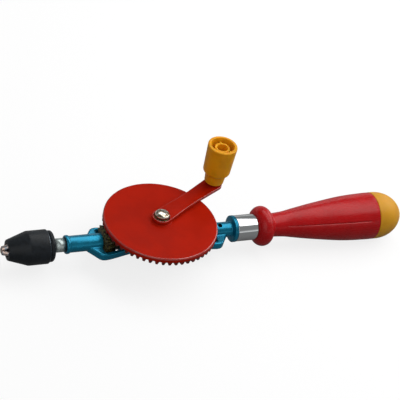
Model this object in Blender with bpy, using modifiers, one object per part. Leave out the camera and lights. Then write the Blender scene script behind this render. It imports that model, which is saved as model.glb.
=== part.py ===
"""Hand drill with a bevel gear wheel, two pinions and a three-jaw chuck.

The tool axis runs along X, with the chuck at -X and the handle at +X. The wheel turns about the Z axis.
The origin is the centre of the flat back face of the frame's hub. Pieces are placed from the point where
the tool axis meets the wheel's axis, which is also the common apex of the bevel gears.
"""
import math

import bmesh
import bpy
from mathutils import Matrix

MM = 0.001

# Fits and cuts
GAP = 0.3 * MM
OVERRUN = 1.0 * MM
MERGE = 0.01 * MM

# Facets of the turned pieces
LARGE_STEPS = 36
MEDIUM_STEPS = 24
SMALL_STEPS = 16
SMOOTH_ANGLE = math.radians(40.0)

# Gear train
WHEEL_TEETH = 56
PINION_TEETH = 14
WHEEL_RADIUS = 45.0 * MM
TOOTH_FACE = 8.0 * MM
ADDENDUM_SHARE = 0.72
DEDENDUM_SHARE = 0.90
WHEEL_TOOTH_SHARE = 0.49
PINION_TOOTH_SHARE = 0.42
FLANK_ANGLE = math.radians(20.0)
PINION_TIP_THICKNESS_SHARE = 0.20
PINION_ROOT_THICKNESS_SHARE = 0.48
PINION_OVERHANG = 0.6 * MM
PINION_SHOULDER = 0.7 * MM
PINION_SHOULDER_RADIUS = 5.6 * MM
PINION_COLLAR_RADIUS = 7.7 * MM
PINION_COLLAR_LENGTH = 4.2 * MM

# Gear wheel
RIM_BACKING = 3.7 * MM
WHEEL_WEB = 3.0 * MM
WHEEL_EDGE_ROUND = 1.1 * MM
BOSS_RADIUS = 7.7 * MM
BOSS_HEIGHT = 0.9 * MM

# Axle stud, wheel bush and washers
STUD_RADIUS = 3.6 * MM
STUD_HEAD_RADIUS = 5.8 * MM
STUD_HEAD_HEIGHT = 2.9 * MM
STUD_DEPTH = 14.0 * MM
BUSH_WALL = 2.0 * MM
BUSH_FLANGE_RADIUS = 11.5 * MM
BUSH_FLANGE = 1.5 * MM
WASHER = 0.8 * MM
HUB_WASHER_RADIUS = 9.6 * MM
ARM_WASHER_RADIUS = 5.7 * MM
ARM_WASHER = 0.5 * MM

# Crank arm, knob pin and knob
ARM_REACH = 65.9 * MM
ARM_ANGLE = math.radians(31.0)
ARM_THICKNESS = 3.0 * MM
ARM_HUB_RADIUS = 7.4 * MM
ARM_TIP_RADIUS = 7.3 * MM
ARM_WAIST = 6.2 * MM
ARM_EDGE_ROUND = 0.5 * MM
KNOB_HEIGHT = 36.4 * MM
KNOB_TOP_RADIUS = 11.9 * MM
KNOB_SHOULDER_RADIUS = 10.9 * MM
KNOB_COLLAR_RADIUS = 8.4 * MM
KNOB_BASE_RADIUS = 7.7 * MM
KNOB_COLLAR_HEIGHT = 9.5 * MM
KNOB_WALL = 2.6 * MM
KNOB_TUBE_RADIUS = 6.2 * MM
KNOB_TUBE_BORE = 4.3 * MM
KNOB_FLOOR = 13.5 * MM
KNOB_RIB = 1.6 * MM
KNOB_RIM_DROP = 1.2 * MM
KNOB_EDGE = 0.8 * MM
KNOB_RIBS = 3
KNOB_RIB_ANGLE = math.radians(78.0)
KNOB_PIN_RADIUS = 2.6 * MM
KNOB_PIN_HEAD = 3.8 * MM
KNOB_PIN_HEAD_HEIGHT = 1.8 * MM
PIN_SHOULDER_RADIUS = 5.0 * MM
PIN_SHOULDER = 1.6 * MM

# Frame casting
HUB_RADIUS = 10.4 * MM
HUB_BACK = 9.0 * MM
WEB_TOP = 0.4 * MM
WEB_HEIGHT = 6.2 * MM
WEB_EDGE_ROUND = 0.7 * MM
RAIL_WIDTH = 3.2 * MM
SIDE_CLEARANCE = 0.5 * MM
WINDOW_CORNER = 1.2 * MM
WINDOW_END_SPACE = 0.8 * MM
CROSS_BOSS_RADIUS = 6.3 * MM
NOSE_RADIUS = 6.45 * MM
NOSE_LENGTH = 28.8 * MM
NOSE_BEAD_RADIUS = 7.3 * MM
NOSE_BEAD_WIDTH = 2.8 * MM
NOSE_COUNTERBORE = 2.2 * MM
NECK_RADIUS = 6.1 * MM
NECK_LENGTH = 15.8 * MM
FLANGE_RADIUS = 10.7 * MM
FLANGE_DOME = 1.0 * MM
FLANGE_LENGTH = 3.2 * MM
FLANGE_GROOVE = 0.5 * MM
TANG_RADIUS = 5.2 * MM
TANG_LENGTH = 52.0 * MM
# Half outline of the frame's webs: distance from the wheel's axis as a share of the flare's end, and
# half width as a share of the widest half width.
WEB_OUTLINE_SHARES = (
    (0.00, 0.62), (0.22, 0.64), (0.34, 0.68), (0.43, 0.73), (0.52, 0.80), (0.62, 0.89), (0.72, 0.97),
    (0.79, 1.00), (0.84, 0.98), (0.875, 0.90), (0.93, 0.62), (1.00, 0.27),
)
FLARE_END = 58.5 * MM

# Shafts inside the frame
SPINDLE_RADIUS = 3.2 * MM
SPINDLE_COLLAR_RADIUS = 5.4 * MM
SPINDLE_SHOW = 10.3 * MM
SPINDLE_THREAD_RADIUS = 4.2 * MM
SPINDLE_THREAD_LENGTH = 12.0 * MM
BEARING_WALL = 1.1 * MM
PILOT_LENGTH = 12.0 * MM
CROSS_PIN_RADIUS = 1.0 * MM
IDLER_AXLE_RADIUS = 3.2 * MM
AXLE_PIN_RADIUS = 1.0 * MM
AXLE_PIN_SUNK = 2.6 * MM
AXLE_PIN_PLACE = 5.4 * MM

# Chuck
CHUCK_LENGTH = 35.0 * MM
CHUCK_NOSE_RADIUS = 7.9 * MM
CHUCK_RADIUS = 13.2 * MM
CHUCK_CONE_LENGTH = 15.4 * MM
CHUCK_BACK_RADIUS = 12.1 * MM
CHUCK_BACK_LENGTH = 4.2 * MM
CHUCK_BACK_ROUND = 1.6 * MM
CHUCK_SLEEVE_WALL = 1.2 * MM
CHUCK_BORE = 3.4 * MM
CHUCK_CORE_SETBACK = 1.2 * MM
JAW_COUNT = 3
JAW_RADIUS = 2.3 * MM
JAW_ANGLE = math.radians(15.0)
JAW_LENGTH = 16.0 * MM
JAW_TURN = math.radians(108.0)
JAW_SHOW = 4.3 * MM
JAW_TIP_OFFSET = 1.2 * MM
JAW_HALF_SPLIT = 0.2 * MM
JAW_TRAVEL = 10.0 * MM
NUT_SETBACK = 5.8 * MM
NUT_LENGTH = 4.0 * MM

# Handle
FERRULE_RADIUS = 10.5 * MM
FERRULE_LENGTH = 17.4 * MM
FERRULE_WALL = 1.2 * MM
GRIP_NECK_RADIUS = 9.5 * MM
GRIP_LENGTH = 106.9 * MM
GRIP_RADIUS = 19.4 * MM
GUARD_RADIUS = 16.2 * MM
GUARD_HALF_WIDTH = 6.8 * MM
# Grip behind the guard: place as a share of the length, radius as a share of the way to the full radius
GRIP_SHARES = (
    (0.12, 0.00), (0.19, 0.03), (0.25, 0.09), (0.32, 0.22), (0.39, 0.35), (0.47, 0.49), (0.55, 0.615),
    (0.64, 0.75), (0.73, 0.87), (0.83, 0.95), (0.92, 0.985), (0.97, 1.00), (1.00, 0.99),
)
GROOVES = 5
GROOVE_WIDTH = 1.1 * MM
GROOVE_DEPTH = 0.8 * MM
GROOVE_START_SHARE = 0.24
GROOVE_END_SHARE = 0.935
GROOVE_FIRST_ANGLE = math.radians(30.0)
STORE_RADIUS = 11.5 * MM
STORE_DEPTH = 52.0 * MM
CAP_SKIRT = 3.1 * MM
CAP_DOME = 23.4 * MM
CAP_EDGE = 1.2 * MM
SPIGOT_LENGTH = 10.0 * MM
SPIGOT_WALL = 2.0 * MM

# Places along the tool axis, worked out from the sizes above
PITCH_SLOPE = PINION_TEETH / WHEEL_TEETH
MODULE = 2 * WHEEL_RADIUS / WHEEL_TEETH
PITCH_HEIGHT = WHEEL_RADIUS * PITCH_SLOPE
TIP_HEIGHT = PITCH_HEIGHT - ADDENDUM_SHARE * MODULE
ROOT_HEIGHT = PITCH_HEIGHT + DEDENDUM_SHARE * MODULE
PINION_TIP_RADIUS = PITCH_HEIGHT + ADDENDUM_SHARE * MODULE
PINION_ROOT_RADIUS = PITCH_HEIGHT - DEDENDUM_SHARE * MODULE
PINION_FAR = WHEEL_RADIUS + PINION_OVERHANG
PINION_NEAR = WHEEL_RADIUS - TOOTH_FACE + GAP
PINION_FACE = PINION_FAR + PINION_SHOULDER
PINION_BACK = PINION_NEAR - PINION_COLLAR_LENGTH
WINDOW_FAR = PINION_FACE + GAP
WINDOW_NEAR = PINION_BACK - WINDOW_END_SPACE
WEB_HALF_WIDTH = PINION_TIP_RADIUS * PINION_FAR / WHEEL_RADIUS + SIDE_CLEARANCE + RAIL_WIDTH
WEB_BOTTOM = WEB_TOP - WEB_HEIGHT
NOSE_FRONT = -(WINDOW_FAR + NOSE_LENGTH)
CHUCK_BACK = NOSE_FRONT - SPINDLE_SHOW
CHUCK_FRONT = CHUCK_BACK - CHUCK_LENGTH
JAW_TIP = CHUCK_FRONT - JAW_SHOW
SLEEVE_BACK = CHUCK_BACK - CHUCK_BACK_LENGTH
NECK_END = WINDOW_FAR + NECK_LENGTH
FLANGE_END = NECK_END + FLANGE_LENGTH
FERRULE_START = FLANGE_END + GAP
GRIP_START = FERRULE_START + FERRULE_LENGTH
GRIP_END = GRIP_START + GRIP_LENGTH
GUARD_CENTRE = GRIP_START + GUARD_HALF_WIDTH
CAP_START = GRIP_END + GAP
TANG_END = FLANGE_END + TANG_LENGTH
STORE_START = GRIP_END - STORE_DEPTH

# Heights above the tool axis, worked out from the sizes above
WHEEL_FACE = ROOT_HEIGHT + RIM_BACKING
WEB_UNDER = WHEEL_FACE - WHEEL_WEB
BUSH_TOP_FLANGE = WEB_UNDER - GAP
BUSH_BOTTOM = BUSH_TOP_FLANGE - BUSH_FLANGE
HUB_WASHER_TOP = BUSH_BOTTOM - GAP
HUB_WASHER_BOTTOM = HUB_WASHER_TOP - WASHER
HUB_TOP = HUB_WASHER_BOTTOM - GAP
BOSS_TOP = WHEEL_FACE + BOSS_HEIGHT
ARM_BOTTOM = BOSS_TOP + GAP
ARM_TOP = ARM_BOTTOM + ARM_THICKNESS
ARM_WASHER_BOTTOM = ARM_TOP + GAP
ARM_WASHER_TOP = ARM_WASHER_BOTTOM + ARM_WASHER
STUD_HEAD_BOTTOM = ARM_WASHER_TOP + GAP
STUD_BOTTOM = HUB_TOP - STUD_DEPTH
KNOB_BOTTOM = ARM_TOP + PIN_SHOULDER + GAP
KNOB_X = ARM_REACH * math.cos(ARM_ANGLE)
KNOB_Y = ARM_REACH * math.sin(ARM_ANGLE)

# Radii of the fits, worked out from the sizes above
STUD_BORE = STUD_RADIUS + GAP
BUSH_RADIUS = STUD_BORE + BUSH_WALL
BEARING_BORE = SPINDLE_RADIUS + GAP
BEARING_RADIUS = BEARING_BORE + BEARING_WALL
CASTING_BORE = BEARING_RADIUS + GAP
COUNTERBORE_RADIUS = SPINDLE_COLLAR_RADIUS + GAP
IDLER_BORE = IDLER_AXLE_RADIUS + GAP
SLEEVE_SLOPE = (CHUCK_RADIUS - CHUCK_NOSE_RADIUS) / CHUCK_CONE_LENGTH
JAW_SLOPE = math.tan(JAW_ANGLE)
JAW_REACH = JAW_RADIUS / math.cos(JAW_ANGLE)
NUT_FRONT = CHUCK_FRONT + NUT_SETBACK
NUT_BACK = NUT_FRONT + NUT_LENGTH
CORE_FRONT = CHUCK_FRONT + CHUCK_CORE_SETBACK


def clear_scene():
    """Remove every object of the opened file."""
    for scene_object in list(bpy.data.objects):
        bpy.data.objects.remove(scene_object, do_unlink=True)


def new_collection(name):
    """Make a collection in the scene."""
    made = bpy.data.collections.new(name)
    bpy.context.scene.collection.children.link(made)
    return made


def new_material(name, colour, roughness, metallic):
    """A plain Principled surface."""
    made = bpy.data.materials.new(name)
    made.use_nodes = True
    shader = made.node_tree.nodes["Principled BSDF"]
    shader.inputs["Base Color"].default_value = (*colour, 1.0)
    shader.inputs["Roughness"].default_value = roughness
    shader.inputs["Metallic"].default_value = metallic
    made.diffuse_color = (*colour, 1.0)
    return made


clear_scene()
PARTS = new_collection("hand_drill")
CUTTERS = new_collection("cutters")
MATERIALS = {
    "blue_paint": new_material("blue_paint", (0.005, 0.22, 0.40), 0.30, 0.0),
    "red_paint": new_material("red_paint", (0.42, 0.018, 0.007), 0.42, 0.0),
    "bright_steel": new_material("bright_steel", (0.55, 0.55, 0.56), 0.28, 1.0),
    "greased_steel": new_material("greased_steel", (0.10, 0.09, 0.06), 0.35, 1.0),
    "chrome": new_material("chrome", (0.72, 0.73, 0.75), 0.08, 1.0),
    "bronze": new_material("bronze", (0.42, 0.26, 0.10), 0.40, 1.0),
    "black_oxide": new_material("black_oxide", (0.012, 0.013, 0.014), 0.45, 0.6),
    "red_plastic": new_material("red_plastic", (0.36, 0.006, 0.010), 0.30, 0.0),
    "yellow_plastic": new_material("yellow_plastic", (0.60, 0.30, 0.02), 0.40, 0.0),
}


def new_empty(name, location, parent=None):
    """An empty that carries pieces on a joint's axis."""
    made = bpy.data.objects.new(name, None)
    made.location = location
    made.parent = parent
    PARTS.objects.link(made)
    return made


TOOL_AXIS = new_empty("tool_axis", (0, 0, HUB_BACK))
CRANK_AXIS = new_empty("crank_axis", (0, 0, 0), TOOL_AXIS)
SPINDLE_AXIS = new_empty("spindle_axis", (0, 0, 0), TOOL_AXIS)
IDLER_AXIS = new_empty("idler_axis", (0, 0, 0), TOOL_AXIS)
KNOB_AXIS = new_empty("knob_axis", (KNOB_X, KNOB_Y, 0), CRANK_AXIS)


def place(mesh, name, parent, rotation=(0, 0, 0), location=(0, 0, 0)):
    """Wrap a mesh in an object, in the cutters' collection until it is finished as a piece."""
    made = bpy.data.objects.new(name, mesh)
    made.parent = parent
    made.rotation_euler = rotation
    made.location = location
    made.hide_render = True
    made.display_type = "WIRE"
    CUTTERS.objects.link(made)
    return made


def piece(made, name, material):
    """Bake a finished shape into a named piece of the drill, smooth but for its sharp edges."""
    bpy.context.view_layer.update()
    mesh = bpy.data.meshes.new_from_object(made.evaluated_get(bpy.context.evaluated_depsgraph_get()))
    made.modifiers.clear()
    made.data = mesh
    mesh.name = name
    mesh.materials.clear()
    mesh.materials.append(MATERIALS[material])
    mesh.shade_smooth()
    mesh.set_sharp_from_angle(angle=SMOOTH_ANGLE)
    CUTTERS.objects.unlink(made)
    PARTS.objects.link(made)
    made.name = name
    made.hide_render = False
    made.display_type = "TEXTURED"
    return made


def turned(outer, bore=None, steps=MEDIUM_STEPS, axis="X", parent=TOOL_AXIS, location=(0, 0, 0), turn=0):
    """A turned solid. outer and bore list (place on the axis, radius) in rising order.

    The profile runs down its outer side and up its bore, which turns the faces outwards. turn is a share
    of a facet by which the facets are turned.
    """
    profile = [(radius, along) for along, radius in reversed(outer)]
    if bore:
        profile += [(radius, along) for along, radius in bore]
    else:
        profile = [(0, outer[-1][0])] + profile + [(0, outer[0][0])]
    shape = bmesh.new()
    angle = 2 * math.pi * turn / steps
    across = (math.cos(angle), math.sin(angle))
    verts = [shape.verts.new((radius * across[0], radius * across[1], along)) for radius, along in profile]
    for first, second in zip(verts, verts[1:]):
        shape.edges.new((first, second))
    if bore:
        shape.edges.new((verts[-1], verts[0]))
    mesh = bpy.data.meshes.new("profile")
    shape.to_mesh(mesh)
    shape.free()
    rotation = (0, math.pi / 2, 0) if axis == "X" else (0, 0, 0)
    made = place(mesh, "turned", parent, rotation, location)
    screw = made.modifiers.new("turn", "SCREW")
    screw.axis = "Z"
    screw.steps = steps
    screw.render_steps = steps
    screw.use_merge_vertices = True
    screw.merge_threshold = MERGE
    screw.use_smooth_shade = False
    return made


def rod(start, end, radius, steps=SMALL_STEPS, axis="X", parent=TOOL_AXIS, location=(0, 0, 0)):
    """A plain cylinder along an axis."""
    return turned([(start, radius), (end, radius)], None, steps, axis, parent, location)


def tube(start, end, radius, bore, steps=SMALL_STEPS, axis="X", parent=TOOL_AXIS, location=(0, 0, 0)):
    """A plain tube along an axis."""
    return turned([(start, radius), (end, radius)], [(start, bore), (end, bore)], steps, axis, parent,
                  location)


def drilled(start, end, radius, steps=SMALL_STEPS, axis="X", parent=TOOL_AXIS, location=(0, 0, 0)):
    """A cylinder turned half a facet, so that its edges miss those of the shapes that it cuts."""
    return turned([(start, radius), (end, radius)], None, steps, axis, parent, location, 0.5)


def cross_rod(low, high, radius, place_on_axis, parent=TOOL_AXIS):
    """A cylinder across the tool axis."""
    return drilled(low, high, radius, SMALL_STEPS, "Z", parent, (place_on_axis, 0, 0))


def boolean(made, other, operation):
    """Cut, join or intersect an object with another one."""
    step = made.modifiers.new(operation.lower(), "BOOLEAN")
    step.operation = operation
    step.solver = "EXACT"
    step.object = other
    return made


def plate(outlines, bottom, top, parent=TOOL_AXIS, location=(0, 0, 0), rotation=(0, 0, 0), edge=0):
    """A flat piece between two heights, from one closed outline of (x, y) points and any holes in it.

    The outer outline runs anticlockwise and the holes clockwise. edge is the chamfer of all edges.
    """
    curve = bpy.data.curves.new("outline", "CURVE")
    curve.dimensions = "2D"
    curve.fill_mode = "BOTH"
    curve.extrude = (top - bottom) / 2 - edge
    curve.bevel_depth = edge
    curve.bevel_resolution = 0
    curve.offset = -edge
    for outline in outlines:
        spline = curve.splines.new("POLY")
        spline.points.add(len(outline) - 1)
        for point, (x, y) in zip(spline.points, outline):
            point.co = (x, y, 0, 1)
        spline.use_cyclic_u = True
    drawn = bpy.data.objects.new("outline", curve)
    CUTTERS.objects.link(drawn)
    bpy.context.view_layer.update()
    shown = drawn.evaluated_get(bpy.context.evaluated_depsgraph_get())
    mesh = bpy.data.meshes.new_from_object(shown)
    bpy.data.objects.remove(drawn, do_unlink=True)
    shape = bmesh.new()
    shape.from_mesh(mesh)
    bmesh.ops.remove_doubles(shape, verts=shape.verts, dist=MERGE)
    bmesh.ops.translate(shape, verts=shape.verts, vec=(0, 0, (top + bottom) / 2))
    bmesh.ops.recalc_face_normals(shape, faces=shape.faces)
    shape.to_mesh(mesh)
    shape.free()
    return place(mesh, "plate", parent, rotation, location)


def lofted_about_apex(outline, nearer_share, parent=TOOL_AXIS):
    """A solid between an outline and the same outline drawn in towards the gears' apex."""
    shape = bmesh.new()
    verts = [shape.verts.new(point) for point in outline]
    face = shape.faces.new(verts)
    grown = bmesh.ops.extrude_face_region(shape, geom=[face])
    drawn_in = [item for item in grown["geom"] if isinstance(item, bmesh.types.BMVert)]
    bmesh.ops.scale(shape, verts=drawn_in, vec=(nearer_share, nearer_share, nearer_share))
    bmesh.ops.recalc_face_normals(shape, faces=shape.faces)
    mesh = bpy.data.meshes.new("loft")
    shape.to_mesh(mesh)
    shape.free()
    return place(mesh, "loft", parent)


def copies_about(made, axis, count, first_angle=0.0):
    """Join turned copies of a shape, about an axis through the apex, into one mesh."""
    shape = bmesh.new()
    for index in range(count):
        start = len(shape.verts)
        shape.from_mesh(made.data)
        shape.verts.ensure_lookup_table()
        angle = first_angle + 2 * math.pi * index / count
        turn = Matrix.Rotation(angle, 4, axis)
        bmesh.ops.transform(shape, matrix=turn, verts=shape.verts[start:])
    shape.to_mesh(made.data)
    shape.free()
    return made


def arc(centre_along, centre_radius, half_along, half_radius, start, end, points):
    """Points of an ellipse arc as (place, radius), with angles from the +axis direction."""
    found = []
    for index in range(points):
        angle = start + (end - start) * index / (points - 1)
        along = centre_along + half_along * math.cos(angle)
        found.append((along, centre_radius + half_radius * math.sin(angle)))
    return found


def web_half_width(along):
    """Half width of the frame's webs at a distance from the wheel's axis."""
    share = abs(along) / FLARE_END
    for (low, low_width), (high, high_width) in zip(WEB_OUTLINE_SHARES, WEB_OUTLINE_SHARES[1:]):
        if share <= high:
            part = (share - low) / (high - low)
            return WEB_HALF_WIDTH * (low_width + part * (high_width - low_width))
    return WEB_HALF_WIDTH * WEB_OUTLINE_SHARES[-1][1]


def web_outline():
    """The frame's plan between the nose and the neck."""
    side = [(share * FLARE_END, width * WEB_HALF_WIDTH) for share, width in WEB_OUTLINE_SHARES]
    left = [(-x, y) for x, y in side] + [(-x, -y) for x, y in reversed(side)]
    right = [(x, -y) for x, y in side[1:]] + [(x, y) for x, y in reversed(side[1:])]
    return left + right


def window_outline(direction):
    """The opening round one pinion: narrow at its collar, wide at its teeth."""
    near = WINDOW_NEAR
    far = WINDOW_FAR + GAP
    wide = PINION_NEAR
    places = [wide + (far - WINDOW_CORNER - wide) * index / 6 for index in range(7)]
    inner = [(x, web_half_width(x) - RAIL_WIDTH) for x in places]
    near_half = PINION_COLLAR_RADIUS + SIDE_CLEARANCE
    far_half = web_half_width(far) - RAIL_WIDTH - WINDOW_CORNER / 3
    side = [(near, near_half)] + inner + [(far, far_half)]
    points = side + [(x, -y) for x, y in reversed(side)]
    return [(direction * x, direction * y) for x, y in points]


def frame_casting():
    """One die casting: nose tube, two windows, hub, cross boss, neck, flange and tang."""
    outlines = [web_outline(), window_outline(-1), window_outline(1)]
    body = plate(outlines, WEB_BOTTOM, WEB_TOP, edge=WEB_EDGE_ROUND)
    hub = turned([(-HUB_BACK, HUB_RADIUS - WEB_EDGE_ROUND), (-HUB_BACK + WEB_EDGE_ROUND, HUB_RADIUS),
                  (HUB_TOP - WEB_EDGE_ROUND, HUB_RADIUS), (HUB_TOP, HUB_RADIUS - WEB_EDGE_ROUND)],
                 axis="Z")
    cross = rod(-WINDOW_NEAR - GAP, WINDOW_NEAR + GAP, CROSS_BOSS_RADIUS, MEDIUM_STEPS)
    bead_centre = NOSE_FRONT + NOSE_BEAD_WIDTH / 2
    bead_base = COUNTERBORE_RADIUS + BEARING_WALL
    bead_rise = NOSE_BEAD_RADIUS - bead_base
    bead = arc(bead_centre, bead_base, NOSE_BEAD_WIDTH / 2, bead_rise, math.pi, 0, 7)
    bead = [(along, radius) for along, radius in bead if along < bead_centre or radius > NOSE_RADIUS]
    nose = turned(bead + [(bead_centre + NOSE_BEAD_WIDTH / 2, NOSE_RADIUS), (-WINDOW_FAR, NOSE_RADIUS)])
    dome = arc(NECK_END + FLANGE_DOME, NECK_RADIUS, FLANGE_DOME, FLANGE_RADIUS - NECK_RADIUS, math.pi,
               math.pi / 2, 5)
    groove = NECK_END + FLANGE_DOME + FLANGE_GROOVE / 2
    bead_end = FLANGE_END - FLANGE_GROOVE
    tail = [
        (groove, FLANGE_RADIUS), (groove + FLANGE_GROOVE, FLANGE_RADIUS - FLANGE_GROOVE),
        (groove + 2 * FLANGE_GROOVE, FLANGE_RADIUS), (bead_end, FLANGE_RADIUS),
        (FLANGE_END, FLANGE_RADIUS - FLANGE_GROOVE), (FLANGE_END, TANG_RADIUS),
        (TANG_END - WEB_EDGE_ROUND, TANG_RADIUS), (TANG_END, TANG_RADIUS - WEB_EDGE_ROUND),
    ]
    neck = turned([(WINDOW_FAR, NECK_RADIUS)] + dome + tail)
    for solid in (hub, cross, nose, neck):
        boolean(body, solid, "UNION")
    stud_hole = drilled(STUD_BOTTOM - GAP, HUB_TOP + OVERRUN, STUD_BORE, MEDIUM_STEPS, "Z")
    nose_bore = turned([(NOSE_FRONT - OVERRUN, COUNTERBORE_RADIUS),
                        (NOSE_FRONT + NOSE_COUNTERBORE, COUNTERBORE_RADIUS),
                        (NOSE_FRONT + NOSE_COUNTERBORE, CASTING_BORE),
                        (-WINDOW_FAR + OVERRUN, CASTING_BORE)])
    pilot = drilled(-WINDOW_NEAR - OVERRUN, -WINDOW_NEAR + PILOT_LENGTH, CASTING_BORE, MEDIUM_STEPS)
    idler_hole = drilled(WINDOW_NEAR - PILOT_LENGTH, NECK_END - GAP, IDLER_BORE, MEDIUM_STEPS)
    pin_hole = cross_rod(-NECK_RADIUS / 2, NECK_RADIUS + OVERRUN, AXLE_PIN_RADIUS + GAP,
                         WINDOW_FAR + AXLE_PIN_PLACE)
    for cutter in (stud_hole, nose_bore, pilot, idler_hole, pin_hole):
        boolean(body, cutter, "DIFFERENCE")
    piece(body, "frame_casting", "blue_paint")


def frame_bearings():
    """The bushes and washers that sit in the casting."""
    bush_front = NOSE_FRONT + NOSE_COUNTERBORE + GAP
    piece(tube(bush_front, -WINDOW_FAR, BEARING_RADIUS, BEARING_BORE, MEDIUM_STEPS), "nose_bush", "bronze")
    washer = tube(NOSE_FRONT + NOSE_COUNTERBORE - WASHER, NOSE_FRONT + NOSE_COUNTERBORE,
                  SPINDLE_COLLAR_RADIUS, BEARING_BORE, MEDIUM_STEPS)
    washer.location.x = -GAP / 2
    piece(washer, "thrust_washer", "bronze")
    pilot_end = -WINDOW_NEAR + PILOT_LENGTH - GAP
    piece(tube(-WINDOW_NEAR, pilot_end, BEARING_RADIUS, BEARING_BORE, MEDIUM_STEPS), "pilot_bush", "bronze")
    hub_washer = tube(HUB_WASHER_BOTTOM, HUB_WASHER_TOP, HUB_WASHER_RADIUS, STUD_BORE, MEDIUM_STEPS, "Z")
    piece(hub_washer, "hub_washer", "bronze")


def axle_stud():
    """The fixed pin of the wheel, with the domed head that shows in the middle of the drill."""
    dome = arc(STUD_HEAD_BOTTOM + STUD_HEAD_HEIGHT / 4, 0, 3 * STUD_HEAD_HEIGHT / 4, STUD_HEAD_RADIUS,
               math.pi / 2, 0, 7)
    outline = [(STUD_BOTTOM, STUD_RADIUS), (STUD_HEAD_BOTTOM, STUD_RADIUS),
               (STUD_HEAD_BOTTOM, STUD_HEAD_RADIUS)] + dome[:-1]
    head_top = dome[-1][0]
    outline.append((head_top - MERGE, STUD_HEAD_RADIUS / 8))
    piece(turned(outline, axis="Z"), "axle_stud", "bright_steel")


def notch_cutters():
    """The spaces between the wheel's teeth, as one mesh of wedges that point at the apex."""
    pitch = 2 * math.pi * WHEEL_RADIUS / WHEEL_TEETH
    space = pitch * (1 - WHEEL_TOOTH_SHARE)
    slope = math.tan(FLANK_ANGLE)
    root_half = space / 2 - (ROOT_HEIGHT - PITCH_HEIGHT) * slope
    mouth = TIP_HEIGHT - OVERRUN
    mouth_half = space / 2 + (PITCH_HEIGHT - mouth) * slope
    grow = (WHEEL_RADIUS + OVERRUN) / WHEEL_RADIUS
    outline = [(WHEEL_RADIUS * grow, side * grow, height * grow) for side, height in (
        (-mouth_half, mouth), (mouth_half, mouth), (root_half, ROOT_HEIGHT), (-root_half, ROOT_HEIGHT))]
    nearer = (WHEEL_RADIUS - TOOTH_FACE - OVERRUN) / (WHEEL_RADIUS + OVERRUN)
    wedge = lofted_about_apex(outline, nearer, CRANK_AXIS)
    return copies_about(wedge, "Z", WHEEL_TEETH)


def gear_wheel():
    """Painted disc with bevel teeth under its rim and a low boss under the arm."""
    inner = WHEEL_RADIUS - TOOTH_FACE
    tip_slope = TIP_HEIGHT / WHEEL_RADIUS
    wheel_bore = BUSH_RADIUS + GAP
    outer = [(TIP_HEIGHT, WHEEL_RADIUS)]
    outer += arc(WHEEL_FACE - WHEEL_EDGE_ROUND, WHEEL_RADIUS - WHEEL_EDGE_ROUND, WHEEL_EDGE_ROUND,
                 WHEEL_EDGE_ROUND, math.pi / 2, 0, 3)
    outer += [(WHEEL_FACE, BOSS_RADIUS + BOSS_HEIGHT), (BOSS_TOP, BOSS_RADIUS), (BOSS_TOP, wheel_bore)]
    under = [(inner * tip_slope, inner), (WEB_UNDER - WHEEL_EDGE_ROUND, inner),
             (WEB_UNDER, inner - WHEEL_EDGE_ROUND), (WEB_UNDER, wheel_bore)]
    wheel = turned(outer, under, WHEEL_TEETH, "Z", CRANK_AXIS)
    boolean(wheel, notch_cutters(), "DIFFERENCE")
    piece(wheel, "gear_wheel", "red_paint")


def wheel_fittings():
    """The bush that carries wheel and arm, and the washer under the stud's head."""
    outer = [(BUSH_BOTTOM, BUSH_FLANGE_RADIUS), (BUSH_TOP_FLANGE, BUSH_FLANGE_RADIUS),
             (BUSH_TOP_FLANGE, BUSH_RADIUS), (ARM_TOP, BUSH_RADIUS)]
    bore = [(BUSH_BOTTOM, STUD_BORE), (ARM_TOP, STUD_BORE)]
    piece(turned(outer, bore, axis="Z", parent=CRANK_AXIS), "wheel_bush", "greased_steel")
    washer = tube(ARM_WASHER_BOTTOM, ARM_WASHER_TOP, ARM_WASHER_RADIUS, STUD_BORE, MEDIUM_STEPS, "Z")
    piece(washer, "arm_washer", "greased_steel")


def circle_points(centre, radius, start, end, points):
    """Points of an arc about a centre, in the plan."""
    found = []
    for index in range(points):
        angle = start + (end - start) * index / (points - 1)
        found.append((centre + radius * math.cos(angle), radius * math.sin(angle)))
    return found


def crank_arm():
    """A flat bar from the wheel's bush to the knob, narrower at its middle."""
    quarter = math.pi / 2
    tip = circle_points(ARM_REACH, ARM_TIP_RADIUS, -quarter, quarter, 13)
    hub = circle_points(0, ARM_HUB_RADIUS, quarter, 3 * quarter, 13)
    waist = ARM_REACH / 2
    outline = tip + [(waist, ARM_WAIST)] + hub + [(waist, -ARM_WAIST)]
    arm = plate([outline], ARM_BOTTOM, ARM_TOP, CRANK_AXIS, rotation=(0, 0, ARM_ANGLE), edge=ARM_EDGE_ROUND)
    low = ARM_BOTTOM - OVERRUN
    high = ARM_TOP + OVERRUN
    boolean(arm, drilled(low, high, BUSH_RADIUS + GAP, MEDIUM_STEPS, "Z", CRANK_AXIS), "DIFFERENCE")
    boolean(arm, drilled(low, high, KNOB_PIN_RADIUS + GAP, SMALL_STEPS, "Z", KNOB_AXIS), "DIFFERENCE")
    piece(arm, "crank_arm", "red_paint")


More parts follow.
